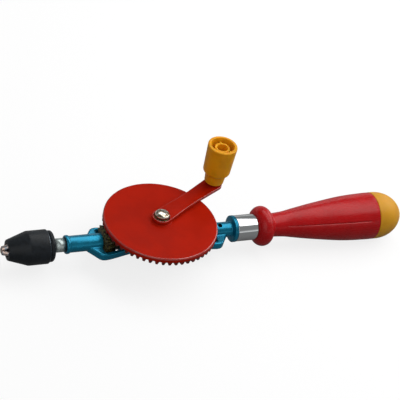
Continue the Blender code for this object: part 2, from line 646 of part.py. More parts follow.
def knob_pin():
    """The pin on the arm that the knob turns on, with a shoulder below and a head inside the knob."""
    floor = KNOB_BOTTOM + KNOB_FLOOR
    outline = [
        (ARM_BOTTOM, KNOB_PIN_RADIUS), (ARM_TOP + GAP, KNOB_PIN_RADIUS), (ARM_TOP + GAP, PIN_SHOULDER_RADIUS),
        (ARM_TOP + PIN_SHOULDER, PIN_SHOULDER_RADIUS), (ARM_TOP + PIN_SHOULDER, KNOB_PIN_RADIUS),
        (floor + GAP, KNOB_PIN_RADIUS), (floor + GAP, KNOB_PIN_HEAD),
        (floor + GAP + KNOB_PIN_HEAD_HEIGHT / 2, KNOB_PIN_HEAD),
        (floor + GAP + KNOB_PIN_HEAD_HEIGHT, KNOB_PIN_HEAD / 2),
    ]
    piece(turned(outline, steps=SMALL_STEPS, axis="Z", parent=KNOB_AXIS), "knob_pin", "bright_steel")


def crank_knob():
    """Hollow moulding: outer cup on a collar, a centre tube and three ribs between them."""
    bottom = KNOB_BOTTOM
    top = bottom + KNOB_HEIGHT
    shoulder = bottom + KNOB_COLLAR_HEIGHT
    floor = bottom + KNOB_FLOOR
    shoulder_end = shoulder + (KNOB_SHOULDER_RADIUS - KNOB_COLLAR_RADIUS) / 2
    inner_low = KNOB_SHOULDER_RADIUS - KNOB_WALL
    inner_high = KNOB_TOP_RADIUS - KNOB_WALL
    pin_bore = KNOB_PIN_RADIUS + GAP
    outer = [
        (bottom, KNOB_BASE_RADIUS - KNOB_EDGE), (bottom + KNOB_EDGE, KNOB_BASE_RADIUS),
        (shoulder, KNOB_COLLAR_RADIUS), (shoulder + KNOB_EDGE / 2, KNOB_SHOULDER_RADIUS - KNOB_EDGE),
        (shoulder_end, KNOB_SHOULDER_RADIUS), (top - KNOB_EDGE, KNOB_TOP_RADIUS),
        (top, KNOB_TOP_RADIUS - KNOB_EDGE),
    ]
    bore = [(bottom, pin_bore), (floor, pin_bore), (floor, inner_low), (top, inner_high)]
    knob = turned(outer, bore, MEDIUM_STEPS, "Z", KNOB_AXIS)
    low = floor - KNOB_EDGE
    tube_top = top - KNOB_RIM_DROP
    near = (KNOB_TUBE_BORE + KNOB_TUBE_RADIUS) / 2
    far = inner_low + KNOB_WALL / 2
    half = KNOB_RIB / 2
    ribs = []
    for index in range(KNOB_RIBS):
        ribs.append(plate([[(near, -half), (far, -half), (far, half), (near, half)]], low - KNOB_EDGE / 2,
                          tube_top - KNOB_RIM_DROP / 2, KNOB_AXIS,
                          rotation=(0, 0, 2 * math.pi * index / KNOB_RIBS + KNOB_RIB_ANGLE)))
    centre = tube(low, tube_top, KNOB_TUBE_RADIUS, KNOB_TUBE_BORE, MEDIUM_STEPS, "Z", KNOB_AXIS)
    for solid in [centre] + ribs:
        boolean(knob, solid, "UNION")
    piece(knob, "crank_knob", "yellow_plastic")


def pinion_outline(direction):
    """The pinion's large end: root, flank and tip points of each tooth, in the plane of the end."""
    pitch = 2 * math.pi / PINION_TEETH
    pitch_arc = 2 * math.pi * PITCH_HEIGHT / PINION_TEETH
    stations = (
        (PINION_ROOT_RADIUS, PINION_ROOT_THICKNESS_SHARE * pitch_arc / PINION_ROOT_RADIUS / 2),
        (PITCH_HEIGHT, PINION_TOOTH_SHARE * pitch_arc / PITCH_HEIGHT / 2),
        (PINION_TIP_RADIUS, PINION_TIP_THICKNESS_SHARE * pitch_arc / PINION_TIP_RADIUS / 2),
    )
    grow = PINION_FAR / WHEEL_RADIUS
    points = []
    for tooth in range(PINION_TEETH):
        middle = pitch * tooth
        rising = [(radius, middle - half) for radius, half in stations]
        falling = [(radius, middle + half) for radius, half in reversed(stations)]
        for radius, angle in rising + falling:
            points.append((direction * PINION_FAR, radius * grow * math.sin(angle),
                           radius * grow * math.cos(angle)))
    return points


def pinion(name, direction, parent, bore):
    """A bevel pinion with a shoulder at its large end and a collar at its small end."""
    teeth = lofted_about_apex(pinion_outline(direction), PINION_NEAR / PINION_FAR, parent)
    ends = sorted((direction * PINION_FACE, direction * (PINION_NEAR + TOOTH_FACE / 2)))
    shoulder = rod(*ends, PINION_SHOULDER_RADIUS, MEDIUM_STEPS, parent=parent)
    ends = sorted((direction * (PINION_NEAR + TOOTH_FACE / 4), direction * PINION_BACK))
    collar = rod(*ends, PINION_COLLAR_RADIUS, MEDIUM_STEPS, parent=parent)
    boolean(teeth, shoulder, "UNION")
    boolean(teeth, collar, "UNION")
    ends = sorted((direction * (PINION_BACK - OVERRUN), direction * (PINION_FACE + OVERRUN)))
    boolean(teeth, drilled(*ends, bore, MEDIUM_STEPS, parent=parent), "DIFFERENCE")
    return piece(teeth, name, "greased_steel")


def spindle():
    """Stepped steel shaft from the chuck's thread to the pilot bearing in the hub."""
    collar_end = NOSE_FRONT + NOSE_COUNTERBORE - WASHER - GAP
    outline = [
        (CHUCK_BACK - SPINDLE_THREAD_LENGTH, SPINDLE_THREAD_RADIUS),
        (CHUCK_BACK - GAP, SPINDLE_THREAD_RADIUS),
        (CHUCK_BACK - GAP, SPINDLE_COLLAR_RADIUS), (collar_end - GAP / 2, SPINDLE_COLLAR_RADIUS),
        (collar_end - GAP / 2, SPINDLE_RADIUS), (-WINDOW_NEAR + PILOT_LENGTH - 2 * GAP, SPINDLE_RADIUS),
    ]
    made = turned(outline, parent=SPINDLE_AXIS)
    pin_place = -(PINION_BACK + PINION_COLLAR_LENGTH / 2)
    reach = PINION_COLLAR_RADIUS + OVERRUN
    hole = cross_rod(-reach, reach, CROSS_PIN_RADIUS + GAP, pin_place, SPINDLE_AXIS)
    boolean(made, hole, "DIFFERENCE")
    piece(made, "spindle", "bright_steel")
    gear = pinion("drive_pinion", -1, SPINDLE_AXIS, SPINDLE_RADIUS + GAP)
    boolean(gear, hole, "DIFFERENCE")
    pin = cross_rod(-PINION_COLLAR_RADIUS, PINION_COLLAR_RADIUS, CROSS_PIN_RADIUS, pin_place, SPINDLE_AXIS)
    piece(pin, "pinion_pin", "bright_steel")


def idler():
    """The second pinion on its fixed axle, which a pin holds in the neck."""
    pinion("idler_pinion", 1, IDLER_AXIS, IDLER_BORE)
    pin_place = WINDOW_FAR + AXLE_PIN_PLACE
    axle = rod(WINDOW_NEAR - PILOT_LENGTH + GAP, NECK_END - 2 * GAP, IDLER_AXLE_RADIUS, MEDIUM_STEPS)
    boolean(axle, cross_rod(-NECK_RADIUS, NECK_RADIUS, AXLE_PIN_RADIUS + GAP, pin_place), "DIFFERENCE")
    piece(axle, "idler_axle", "bright_steel")
    pin = cross_rod(-NECK_RADIUS / 2 + GAP, NECK_RADIUS - AXLE_PIN_SUNK, AXLE_PIN_RADIUS, pin_place)
    piece(pin, "idler_axle_pin", "bright_steel")


def jaw_offset(along):
    """Distance of a jaw's centre line from the tool axis at a place on that axis."""
    return JAW_TIP_OFFSET + (along - JAW_TIP) * JAW_SLOPE


def jaw_direction(index):
    """Angle of a jaw about the tool axis, from +Z."""
    return 2 * math.pi * index / JAW_COUNT + JAW_TURN


def jaw_line(made, index, along):
    """Place a shape that stands on +Z on a jaw's centre line, at a place on the tool axis."""
    lean = Matrix.Rotation(math.pi / 2 - JAW_ANGLE, 4, "Y")
    out = Matrix.Translation((along, 0, jaw_offset(along)))
    made.matrix_local = Matrix.Rotation(jaw_direction(index), 4, "X") @ out @ lean
    return made


def chuck_body():
    """The part that screws on the spindle: rounded back, core, bit bore and three slanting jaw holes."""
    core_slope = JAW_SLOPE
    core_front = jaw_offset(CORE_FRONT) + JAW_REACH
    core_radius = CHUCK_RADIUS - CHUCK_SLEEVE_WALL - 2 * JAW_RADIUS / 3
    cone_end = CORE_FRONT + (core_radius - core_front) / core_slope
    back_round = arc(CHUCK_BACK - CHUCK_BACK_ROUND, CHUCK_BACK_RADIUS - CHUCK_BACK_ROUND, CHUCK_BACK_ROUND,
                     CHUCK_BACK_ROUND, math.pi / 2, 0, 4)
    outer = [(CORE_FRONT, core_front), (cone_end, core_radius), (SLEEVE_BACK + GAP, core_radius),
             (SLEEVE_BACK + GAP, CHUCK_BACK_RADIUS)] + back_round
    body = turned(outer, steps=LARGE_STEPS, parent=SPINDLE_AXIS)
    thread_end = CHUCK_BACK - SPINDLE_THREAD_LENGTH - GAP
    thread = turned([(thread_end, SPINDLE_THREAD_RADIUS + GAP),
                     (CHUCK_BACK - GAP, SPINDLE_THREAD_RADIUS + GAP),
                     (CHUCK_BACK - GAP, SPINDLE_COLLAR_RADIUS + GAP),
                     (CHUCK_BACK + OVERRUN, SPINDLE_COLLAR_RADIUS + GAP)], parent=SPINDLE_AXIS)
    bore_end = thread_end - CHUCK_SLEEVE_WALL
    bit_bore = drilled(CORE_FRONT - OVERRUN, bore_end, CHUCK_BORE, MEDIUM_STEPS, parent=SPINDLE_AXIS)
    boolean(body, thread, "DIFFERENCE")
    boolean(body, bit_bore, "DIFFERENCE")
    start = CORE_FRONT - JAW_RADIUS
    travel_end = JAW_TIP + JAW_LENGTH + JAW_TRAVEL + JAW_RADIUS
    for index in range(JAW_COUNT):
        length = (travel_end - start) / math.cos(JAW_ANGLE)
        hole = drilled(0, length, JAW_RADIUS + GAP, SMALL_STEPS, "Z", SPINDLE_AXIS)
        boolean(body, jaw_line(hole, index, start), "DIFFERENCE")
    piece(body, "chuck_body", "black_oxide")


def sleeve_inner(along):
    """Radius inside the sleeve's cone."""
    return CHUCK_NOSE_RADIUS + (along - CHUCK_FRONT) * SLEEVE_SLOPE - CHUCK_SLEEVE_WALL


def chuck_sleeve():
    """The conical shell that is turned by hand, and the threaded ring inside it."""
    cone_end = CHUCK_FRONT + CHUCK_CONE_LENGTH
    edge = CHUCK_SLEEVE_WALL / 2
    outer = [(CHUCK_FRONT, CHUCK_NOSE_RADIUS - edge), (CHUCK_FRONT + edge / 2, CHUCK_NOSE_RADIUS),
             (cone_end - edge, CHUCK_RADIUS - edge / 3), (cone_end + edge, CHUCK_RADIUS),
             (SLEEVE_BACK - edge, CHUCK_RADIUS), (SLEEVE_BACK, CHUCK_RADIUS - edge)]
    mouth = jaw_offset(CHUCK_FRONT) + JAW_REACH + GAP
    seat = NUT_FRONT - GAP
    mouth_end = mouth + (seat - CHUCK_FRONT) * JAW_SLOPE
    inner_end = CHUCK_FRONT + CHUCK_CONE_LENGTH
    bore = [(CHUCK_FRONT, mouth), (seat, mouth_end), (seat, sleeve_inner(seat)),
            (inner_end, CHUCK_RADIUS - CHUCK_SLEEVE_WALL), (SLEEVE_BACK, CHUCK_RADIUS - CHUCK_SLEEVE_WALL)]
    piece(turned(outer, bore, LARGE_STEPS, parent=SPINDLE_AXIS), "chuck_sleeve", "black_oxide")
    nut_outer = [(NUT_FRONT, sleeve_inner(NUT_FRONT) - GAP), (NUT_BACK, sleeve_inner(NUT_BACK) - GAP)]
    nut_bore = [(place_on_axis, jaw_offset(place_on_axis) + JAW_REACH + GAP)
                for place_on_axis in (NUT_FRONT, NUT_BACK)]
    piece(turned(nut_outer, nut_bore, LARGE_STEPS, parent=SPINDLE_AXIS), "chuck_nut", "bright_steel")


def chuck_jaws():
    """Three rods cut to a wedge, so that their flats meet on the tool axis."""
    for index in range(JAW_COUNT):
        length = JAW_LENGTH / math.cos(JAW_ANGLE)
        jaw = rod(-JAW_RADIUS, length, JAW_RADIUS, SMALL_STEPS, "Z", SPINDLE_AXIS)
        jaw_line(jaw, index, JAW_TIP)
        half = math.pi / JAW_COUNT
        reach = JAW_LENGTH
        apex = JAW_HALF_SPLIT / math.sin(half)
        wedge = plate([[(apex, 0), (apex + reach * math.cos(half), -reach * math.sin(half)),
                        (apex + reach * math.cos(half), reach * math.sin(half))]],
                      JAW_TIP, JAW_TIP + JAW_LENGTH + OVERRUN, SPINDLE_AXIS)
        stand = Matrix(((0, 0, 1, 0), (0, -1, 0, 0), (1, 0, 0, 0), (0, 0, 0, 1)))
        wedge.matrix_local = Matrix.Rotation(jaw_direction(index), 4, "X") @ stand
        boolean(jaw, wedge, "INTERSECT")
        piece(jaw, f"chuck_jaw_{index + 1}", "bright_steel")


def ferrule():
    """Plated tube over the front of the handle."""
    made = tube(FERRULE_START, GRIP_START - GAP, FERRULE_RADIUS, FERRULE_RADIUS - FERRULE_WALL, LARGE_STEPS)
    piece(made, "ferrule", "chrome")


def grip_radius(share):
    """Radius of the grip at a share of its length."""
    for (low, low_rise), (high, high_rise) in zip(GRIP_SHARES, GRIP_SHARES[1:]):
        if share <= high:
            rise = low_rise + (share - low) / (high - low) * (high_rise - low_rise)
            return GRIP_NECK_RADIUS + rise * (GRIP_RADIUS - GRIP_NECK_RADIUS)
    return GRIP_RADIUS


def handle_grip():
    """Moulded handle: plug inside the ferrule, round guard, swelling body, grooves and bit store."""
    plug = FERRULE_RADIUS - FERRULE_WALL - GAP
    guard = arc(GUARD_CENTRE, GRIP_NECK_RADIUS, GUARD_HALF_WIDTH, GUARD_RADIUS - GRIP_NECK_RADIUS,
                math.pi, 0, 11)
    outer = [(FERRULE_START, plug), (GRIP_START, plug)] + guard
    outer += [(GRIP_START + share * GRIP_LENGTH, grip_radius(share)) for share, rise in GRIP_SHARES[1:]]
    grip = turned(outer, steps=LARGE_STEPS)
    first = GRIP_START + GROOVE_START_SHARE * GRIP_LENGTH
    last = GRIP_START + GROOVE_END_SHARE * GRIP_LENGTH
    places = [first + (last - first) * index / 8 for index in range(9)]
    floor = [(x, grip_radius((x - GRIP_START) / GRIP_LENGTH) - GROOVE_DEPTH) for x in places]
    over = GRIP_RADIUS + OVERRUN
    blade_outline = [(first - GROOVE_DEPTH, over)] + floor + [(last + GROOVE_DEPTH, over)]
    for index in range(GROOVES):
        angle = GROOVE_FIRST_ANGLE + 2 * math.pi * index / GROOVES
        blade = plate([blade_outline], -GROOVE_WIDTH / 2, GROOVE_WIDTH / 2, rotation=(math.pi - angle, 0, 0))
        boolean(grip, blade, "DIFFERENCE")
    tang_hole = drilled(FERRULE_START - OVERRUN, TANG_END + GAP, TANG_RADIUS + GAP, MEDIUM_STEPS)
    store = drilled(STORE_START, GRIP_END + OVERRUN, STORE_RADIUS, LARGE_STEPS)
    boolean(grip, tang_hole, "DIFFERENCE")
    boolean(grip, store, "DIFFERENCE")
    piece(grip, "handle_grip", "red_plastic")


def end_cap():
    """Domed cap with a hollow spigot that plugs the bit store."""
    spigot = STORE_RADIUS - GAP
    spigot_end = CAP_START - SPIGOT_LENGTH
    dome = arc(CAP_START + CAP_SKIRT, 0, CAP_DOME, GRIP_RADIUS, math.pi / 2, 0, 9)[:-1]
    outer = [(spigot_end, spigot - CAP_EDGE / 2), (spigot_end + CAP_EDGE, spigot), (CAP_START, spigot),
             (CAP_START, GRIP_RADIUS - CAP_EDGE / 3), (CAP_START + CAP_EDGE / 3, GRIP_RADIUS)] + dome
    outer.append((CAP_START + CAP_SKIRT + CAP_DOME - MERGE, CAP_EDGE))
    cap = turned(outer, steps=LARGE_STEPS)
    hollow = drilled(spigot_end - OVERRUN, CAP_START + CAP_DOME / 4, spigot - SPIGOT_WALL, MEDIUM_STEPS)
    boolean(cap, hollow, "DIFFERENCE")
    piece(cap, "end_cap", "yellow_plastic")


frame_casting()
frame_bearings()
axle_stud()
gear_wheel()
wheel_fittings()
crank_arm()
knob_pin()
crank_knob()
spindle()
idler()
chuck_body()
chuck_sleeve()
chuck_jaws()
ferrule()
handle_grip()
end_cap()
bpy.context.view_layer.update()
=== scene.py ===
"""Looks of a hand drill: painted wheel and crank, blue die casting, black chuck and a red handle.

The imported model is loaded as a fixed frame. The shapes below are drawn in the drill's own layout, where
the tool axis runs along X through the point below the wheel's centre, and are lifted to the frame's
height when they are finished. All lengths are in metres.
"""
import math

import bmesh
import bpy
from bpy.props import FloatProperty, FloatVectorProperty, IntProperty, PointerProperty
from bpy.types import Operator, Panel, PropertyGroup
from mathutils import Matrix, Vector


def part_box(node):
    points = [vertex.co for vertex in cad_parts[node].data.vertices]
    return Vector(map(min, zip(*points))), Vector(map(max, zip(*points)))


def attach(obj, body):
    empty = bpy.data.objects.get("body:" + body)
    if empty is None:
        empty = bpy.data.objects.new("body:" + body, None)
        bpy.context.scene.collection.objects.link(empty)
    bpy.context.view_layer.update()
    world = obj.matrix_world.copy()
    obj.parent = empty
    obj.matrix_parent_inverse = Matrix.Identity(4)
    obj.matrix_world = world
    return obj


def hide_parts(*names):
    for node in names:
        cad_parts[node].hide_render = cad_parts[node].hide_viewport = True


bl_info = {
    "name": "Hand drill",
    "version": (1, 0, 0),
    "blender": (4, 5, 0),
    "location": "3D View > Sidebar > Hand drill",
    "description": "Dresses the hand drill's packed model with finished pieces and materials",
    "category": "Add Mesh",
}

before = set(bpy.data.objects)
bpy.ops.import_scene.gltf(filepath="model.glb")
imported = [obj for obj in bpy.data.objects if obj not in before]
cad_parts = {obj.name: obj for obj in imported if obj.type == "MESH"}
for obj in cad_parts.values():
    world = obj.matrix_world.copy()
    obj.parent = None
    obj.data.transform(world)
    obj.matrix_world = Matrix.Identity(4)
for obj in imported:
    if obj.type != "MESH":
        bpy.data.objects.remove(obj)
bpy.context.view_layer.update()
MM = 0.001
MERGE = 0.002 * MM
GAP = 0.3 * MM

# The tool axis lies at the middle of the ferrule, and everything is drawn about it
BOX = {node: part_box(node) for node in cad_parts}
AXIS = (BOX["ferrule"][0].z + BOX["ferrule"][1].z) / 2

# Gear wheel, drawn from the point where the tool axis meets the wheel's axis
WHEEL_RADIUS = BOX["gear_wheel"][1].x
WHEEL_TEETH = 56
TOOTH_FACE = 8.0 * MM
TOOTH_TIP = 10.09 * MM
TOOTH_PITCH = 11.25 * MM
TOOTH_ROOT = 12.70 * MM
TOOTH_FLANK = math.radians(20.0)
TOOTH_SHARE = 0.49
TOOTH_WEAR = 0.18 * MM
TOOTH_TIP_SLOPE = 0.24
WHEEL_FACE = 16.396 * MM
WHEEL_UNDER = 13.396 * MM
BOSS_TOP = BOX["gear_wheel"][1].z - AXIS
BOSS_RADIUS = 7.7 * MM
WHEEL_BORE = 6.2 * MM

# Stud, arm and knob
STUD_RADIUS = 3.6 * MM
STUD_HEAD_RADIUS = 5.8 * MM
STUD_TOP = BOX["axle_stud"][1].z - AXIS
STUD_LOW = BOX["axle_stud"][0].z - AXIS
STUD_HEAD = 2.9 * MM
STUD_CHAMFER = 0.4 * MM
ARM_LOW = BOX["crank_arm"][0].z - AXIS
ARM_HIGH = BOX["crank_arm"][1].z - AXIS
ARM_REACH = 65.9 * MM
ARM_ANGLE = math.radians(31.0)
ARM_HUB_RADIUS = 7.4 * MM
ARM_TIP_RADIUS = 7.3 * MM
ARM_WAIST = 6.22 * MM
ARM_WAIST_SHARES = (0.62, 0.5, 0.38)
KNOB_LOW = BOX["crank_knob"][0].z - AXIS
KNOB_HIGH = BOX["crank_knob"][1].z - AXIS
KNOB_CENTRE = Vector((ARM_REACH * math.cos(ARM_ANGLE), ARM_REACH * math.sin(ARM_ANGLE), 0.0))
KNOB_TOP_RADIUS = 11.9 * MM
KNOB_SHOULDER_RADIUS = 10.9 * MM
KNOB_COLLAR_RADIUS = 8.4 * MM
KNOB_BASE_RADIUS = 7.7 * MM
KNOB_COLLAR = 9.5 * MM
KNOB_FLOOR = 13.5 * MM
KNOB_WALL = 2.6 * MM
KNOB_TUBE_RADIUS = 6.2 * MM
KNOB_TUBE_BORE = 4.3 * MM
KNOB_TUBE_DROP = 2.4 * MM
KNOB_RIB = 1.6 * MM
KNOB_RIB_ANGLE = math.radians(78.0)
PIN_BORE = 2.9 * MM

# Nose, neck and flange of the casting
WINDOW_FAR = 46.6 * MM
NOSE_FRONT = BOX["frame_casting"][0].x
NOSE_RADIUS = 6.45 * MM
NOSE_BEAD_RADIUS = 7.3 * MM
NOSE_BEAD = 2.8 * MM
NOSE_BEAD_BASE = 6.8 * MM
NOSE_COUNTERBORE = 2.2 * MM
NOSE_MOUTH = 5.7 * MM
NOSE_BORE = 4.9 * MM
NECK_RADIUS = 6.1 * MM
NECK_END = 62.4 * MM
FLANGE_END = 65.6 * MM
FLANGE_RADIUS = 10.7 * MM
FLANGE_DOME = 1.0 * MM
FLANGE_GROOVE = 0.5 * MM
SKIN = 0.04 * MM
OIL_HOLE = 52.0 * MM
OIL_HOLE_RADIUS = 1.7 * MM
OIL_HOLE_DEPTH = 0.6 * MM
OIL_HOLE_RISE = 0.06 * MM
OIL_HOLE_TURN = math.radians(12.0)

# Chuck
CHUCK_FRONT = BOX["chuck_sleeve"][0].x
SLEEVE_BACK = BOX["chuck_sleeve"][1].x
CHUCK_RADIUS = 13.2 * MM
CHUCK_NOSE_RADIUS = 7.9 * MM
CHUCK_CONE = 15.4 * MM
CHUCK_BACK_ROUND = 1.1 * MM
SLEEVE_WALL = 1.2 * MM
NUT_SEAT = 5.5 * MM
JAW_RADIUS = 2.3 * MM
JAW_TIP_OFFSET = 1.2 * MM
JAW_SHOW = 4.3 * MM
JAW_LEAN = math.radians(15.0)

# Handle
FERRULE_START = BOX["ferrule"][0].x
GRIP_START = BOX["ferrule"][1].x + GAP
GRIP_END = BOX["handle_grip"][1].x
GRIP_LENGTH = GRIP_END - GRIP_START
FERRULE_RADIUS = 10.5 * MM
FERRULE_WALL = 1.2 * MM
GRIP_NECK_RADIUS = 9.5 * MM
GRIP_RADIUS = 19.4 * MM
GUARD_RADIUS = 16.2 * MM
GUARD_HALF_WIDTH = 6.8 * MM
WAIST_ANGLE = math.radians(28.0)
WAIST_REACH = 3.0 * MM
GRIP_SHARES = (
    (0.165, 0.012), (0.19, 0.03), (0.25, 0.09), (0.32, 0.22), (0.39, 0.35), (0.47, 0.49), (0.55, 0.615),
    (0.64, 0.75), (0.73, 0.87), (0.83, 0.95), (0.92, 0.985), (0.97, 1.00), (1.00, 0.99),
)
GROOVES = 5
GROOVE_START = 0.24
GROOVE_END = 0.935
GROOVE_FIRST_ANGLE = math.radians(30.0)
GROOVE_STEEP_SHARE = 0.2
GROOVE_FADE = 2.0 * MM
GROOVE_CREASE = math.radians(28.0)
GRIP_END_ROUND = 0.5 * MM
TANG_BORE = 5.5 * MM
TANG_END = 117.9 * MM
STORE_RADIUS = 11.5 * MM
STORE_START = 138.2 * MM
CAP_START = GRIP_END + GAP
CAP_SKIRT = 3.1 * MM
CAP_DOME = 23.4 * MM
SPIGOT = 10.0 * MM
SPIGOT_WALL = 2.0 * MM

CREASE = math.radians(38.0)
SHARP_EDGE = math.radians(50.0)
FULL_TURN = 2 * math.pi

# Stage; the floor's glow is its share of plain white, and less of it shows in glossy surfaces
LENS = 126.0
FLOOR_SIZE = 6.0
FLOOR_GLOW = 0.8
FLOOR_MIRRORED = 0.12


def linear(code):
    """The linear colour of an sRGB hex code."""
    shares = [int(code[place:place + 2], 16) / 255 for place in (0, 2, 4)]
    return tuple(share / 12.92 if share <= 0.04045 else ((share + 0.055) / 1.055) ** 2.4 for share in shares)


class DrillSizes(PropertyGroup):
    """Sizes of the finish that a user may want to change."""

    edge_round: FloatProperty(
        name="Edge round", description="Radius on the pressed and turned edges",
        default=0.45 * MM, min=0.05 * MM, max=1.0 * MM, subtype="DISTANCE", unit="LENGTH")
    rim_round: FloatProperty(
        name="Rim round", description="Radius on the top edge of the wheel's rim",
        default=1.4 * MM, min=0.2 * MM, max=2.0 * MM, subtype="DISTANCE", unit="LENGTH")
    cast_grain: FloatProperty(
        name="Casting fillet", description="Cell size that rounds the inner corners of the casting",
        default=0.42 * MM, min=0.3 * MM, max=1.0 * MM, subtype="DISTANCE", unit="LENGTH")
    groove_width: FloatProperty(
        name="Groove width", description="Width of the long grooves in the grip",
        default=1.7 * MM, min=0.6 * MM, max=4.0 * MM, subtype="DISTANCE", unit="LENGTH")
    groove_depth: FloatProperty(
        name="Groove depth", description="Depth of the long grooves in the grip",
        default=0.95 * MM, min=0.2 * MM, max=2.0 * MM, subtype="DISTANCE", unit="LENGTH")
    fine_steps: IntProperty(
        name="Fine steps", description="Facets round the largest turned pieces",
        default=144, min=48, max=360)


class DrillColours(PropertyGroup):
    """Colours of the finishes."""

    wheel_red: FloatVectorProperty(
        name="Wheel red", description="Baked enamel of the wheel and the arm",
        default=linear("AA1A05"), min=0.0, max=1.0, subtype="COLOR")
    frame_blue: FloatVectorProperty(
        name="Frame blue", description="Lacquer of the die casting",
        default=linear("007C9C"), min=0.0, max=1.0, subtype="COLOR")
    grip_red: FloatVectorProperty(
        name="Grip red", description="Moulded plastic of the grip",
        default=linear("B2040A"), min=0.0, max=1.0, subtype="COLOR")
    knob_amber: FloatVectorProperty(
        name="Knob amber", description="Moulded plastic of the crank's knob",
        default=linear("E6A010"), min=0.0, max=1.0, subtype="COLOR")
    cap_yellow: FloatVectorProperty(
        name="Cap yellow", description="Moulded plastic of the end cap",
        default=linear("D49820"), min=0.0, max=1.0, subtype="COLOR")
    chuck_black: FloatVectorProperty(
        name="Chuck black", description="Blackened surface of the chuck",
        default=linear("11161B"), min=0.0, max=1.0, subtype="COLOR")


def sizes():
    """The sizes set on the scene."""
    return bpy.context.scene.hand_drill_sizes


def colours():
    """The colours set on the scene."""
    return bpy.context.scene.hand_drill_colours


# Materials

def add_node(tree, kind, values=None, links=None, **settings):
    """Add a node with its settings, its socket values and the sockets that feed it."""
    node = tree.nodes.new(kind)
    for name, value in settings.items():
        setattr(node, name, value)
    for socket, value in (values or {}).items():
        node.inputs[socket].default_value = value
    for socket, source in (links or {}).items():
        tree.links.new(source, node.inputs[socket])
    return node


def begin(name, **values):
    """Start a material from its shader's plain values; gives its tree, shader and object coordinates."""
    made = bpy.data.materials.new(name)
    made.use_nodes = True
    tree = made.node_tree
    tree.nodes.clear()
    named = {key.replace("_", " ").title().replace("Ior", "IOR"): value for key, value in values.items()}
    shader = add_node(tree, "ShaderNodeBsdfPrincipled", named)
    add_node(tree, "ShaderNodeOutputMaterial", links={"Surface": shader.outputs[0]})
    coordinates = add_node(tree, "ShaderNodeTexCoord").outputs["Object"]
    return made, tree, shader, coordinates


def full(colour):
    """A colour with its alpha."""
    return (*colour, 1.0)


def shade(colour, share):
    """A darker or lighter colour."""
    return tuple(min(1.0, part * share) for part in colour)


def noise(tree, place, size, detail, roughness=0.5):
    """A cloudy pattern's value, with patches of about one size across."""
    values = {"Scale": 1 / size, "Detail": detail, "Roughness": roughness}
    return add_node(tree, "ShaderNodeTexNoise", values, {"Vector": place}).outputs[0]


def stretched(tree, place, shares):
    """Coordinates scaled along each axis, so that a pattern on them is drawn out."""
    return add_node(tree, "ShaderNodeMapping", {"Scale": shares}, {"Vector": place}).outputs[0]


def greatest(tree, first, *others):
    """The largest of several values."""
    for other in others:
        first = add_node(tree, "ShaderNodeMath", links={0: first, 1: other}, operation="MAXIMUM").outputs[0]
    return first


def vary_colour(tree, shader, source, first, second, low=0.35, high=0.65):
    """Blend two colours by a pattern's value."""
    ramp = add_node(tree, "ShaderNodeMapRange", {"From Min": low, "From Max": high}, {"Value": source},
                    interpolation_type="SMOOTHSTEP")
    blend = add_node(tree, "ShaderNodeMix", {6: full(first), 7: full(second)}, {0: ramp.outputs[0]},
                     data_type="RGBA")
    tree.links.new(blend.outputs[2], shader.inputs["Base Color"])


def vary_roughness(tree, shader, source, low, high):
    """Spread the roughness over a pattern's value."""
    ends = {"From Min": 0.3, "From Max": 0.7, "To Min": low, "To Max": high}
    spread = add_node(tree, "ShaderNodeMapRange", ends, {"Value": source})
    tree.links.new(spread.outputs[0], shader.inputs["Roughness"])


def raise_bump(tree, shader, source, depth, strength=1.0):
    """Lift the surface by a pattern's value, depth in metres."""
    bump = add_node(tree, "ShaderNodeBump", {"Strength": strength, "Distance": depth}, {"Height": source})
    tree.links.new(bump.outputs[0], shader.inputs["Normal"])


def red_enamel():
    """Alkyd enamel, baked on pressed steel: satin, with fine orange peel and faint handling marks."""
    colour = colours().wheel_red
    made, tree, shader, place = begin("red_baked_enamel", ior=1.5, specular_ior_level=0.03)
    cloud = noise(tree, place, 22 * MM, 3.0, 0.6)
    vary_colour(tree, shader, cloud, shade(colour, 0.92), shade(colour, 1.06))
    vary_roughness(tree, shader, cloud, 0.33, 0.44)
    # Orange peel is about half a millimetre from crest to crest
    peel = noise(tree, place, 0.9 * MM, 1.0)
    raise_bump(tree, shader, peel, 0.012 * MM, 0.6)
    return made


def edge_enamel():
    """The same enamel where it runs round an edge: stretched smooth, so that the edge draws a bright line."""
    colour = colours().wheel_red
    made, tree, shader, place = begin("red_enamel_over_edges", ior=1.5, specular_ior_level=0.9)
    cloud = noise(tree, place, 6 * MM, 2.0)
    vary_colour(tree, shader, cloud, shade(colour, 0.85), shade(colour, 1.05))
    vary_roughness(tree, shader, cloud, 0.10, 0.18)
    return made


def greased_enamel_and_painted_shade():
    """The same enamel on the teeth, rubbed thin by the pinions and darkened partly by their grease and partly
    by painted shade, as the teeth face down under the rim.
    """
    colour = colours().wheel_red
    made, tree, shader, place = begin("tooth_enamel_greased_and_shade_painted", ior=1.5, specular_ior_level=0.3)
    cloud = noise(tree, place, 2.4 * MM, 4.0, 0.65)
    # Painted shade: the near-black brown and the dim red go darker than the grease alone, for the shade under
    # the rim.
    vary_colour(tree, shader, cloud, linear("2A0E08"), shade(colour, 0.55), 0.38, 0.62)
    vary_roughness(tree, shader, cloud, 0.28, 0.5)
    raise_bump(tree, shader, cloud, 0.06 * MM, 0.6)
    return made


def blue_enamel():
    """Clear blue lacquer over a bright zinc die casting: its highlights take the blue of the lacquer."""
    colour = colours().frame_blue
    made, tree, shader, place = begin("blue_lacquer_on_zinc", metallic=0.6, ior=1.5, specular_ior_level=0.5)
    cloud = noise(tree, place, 9 * MM, 3.0)
    vary_colour(tree, shader, cloud, shade(colour, 0.86), shade(colour, 1.08))
    vary_roughness(tree, shader, cloud, 0.20, 0.30)
    ripple = noise(tree, place, 1.6 * MM, 2.0)
    raise_bump(tree, shader, ripple, 0.01 * MM, 0.6)
    return made


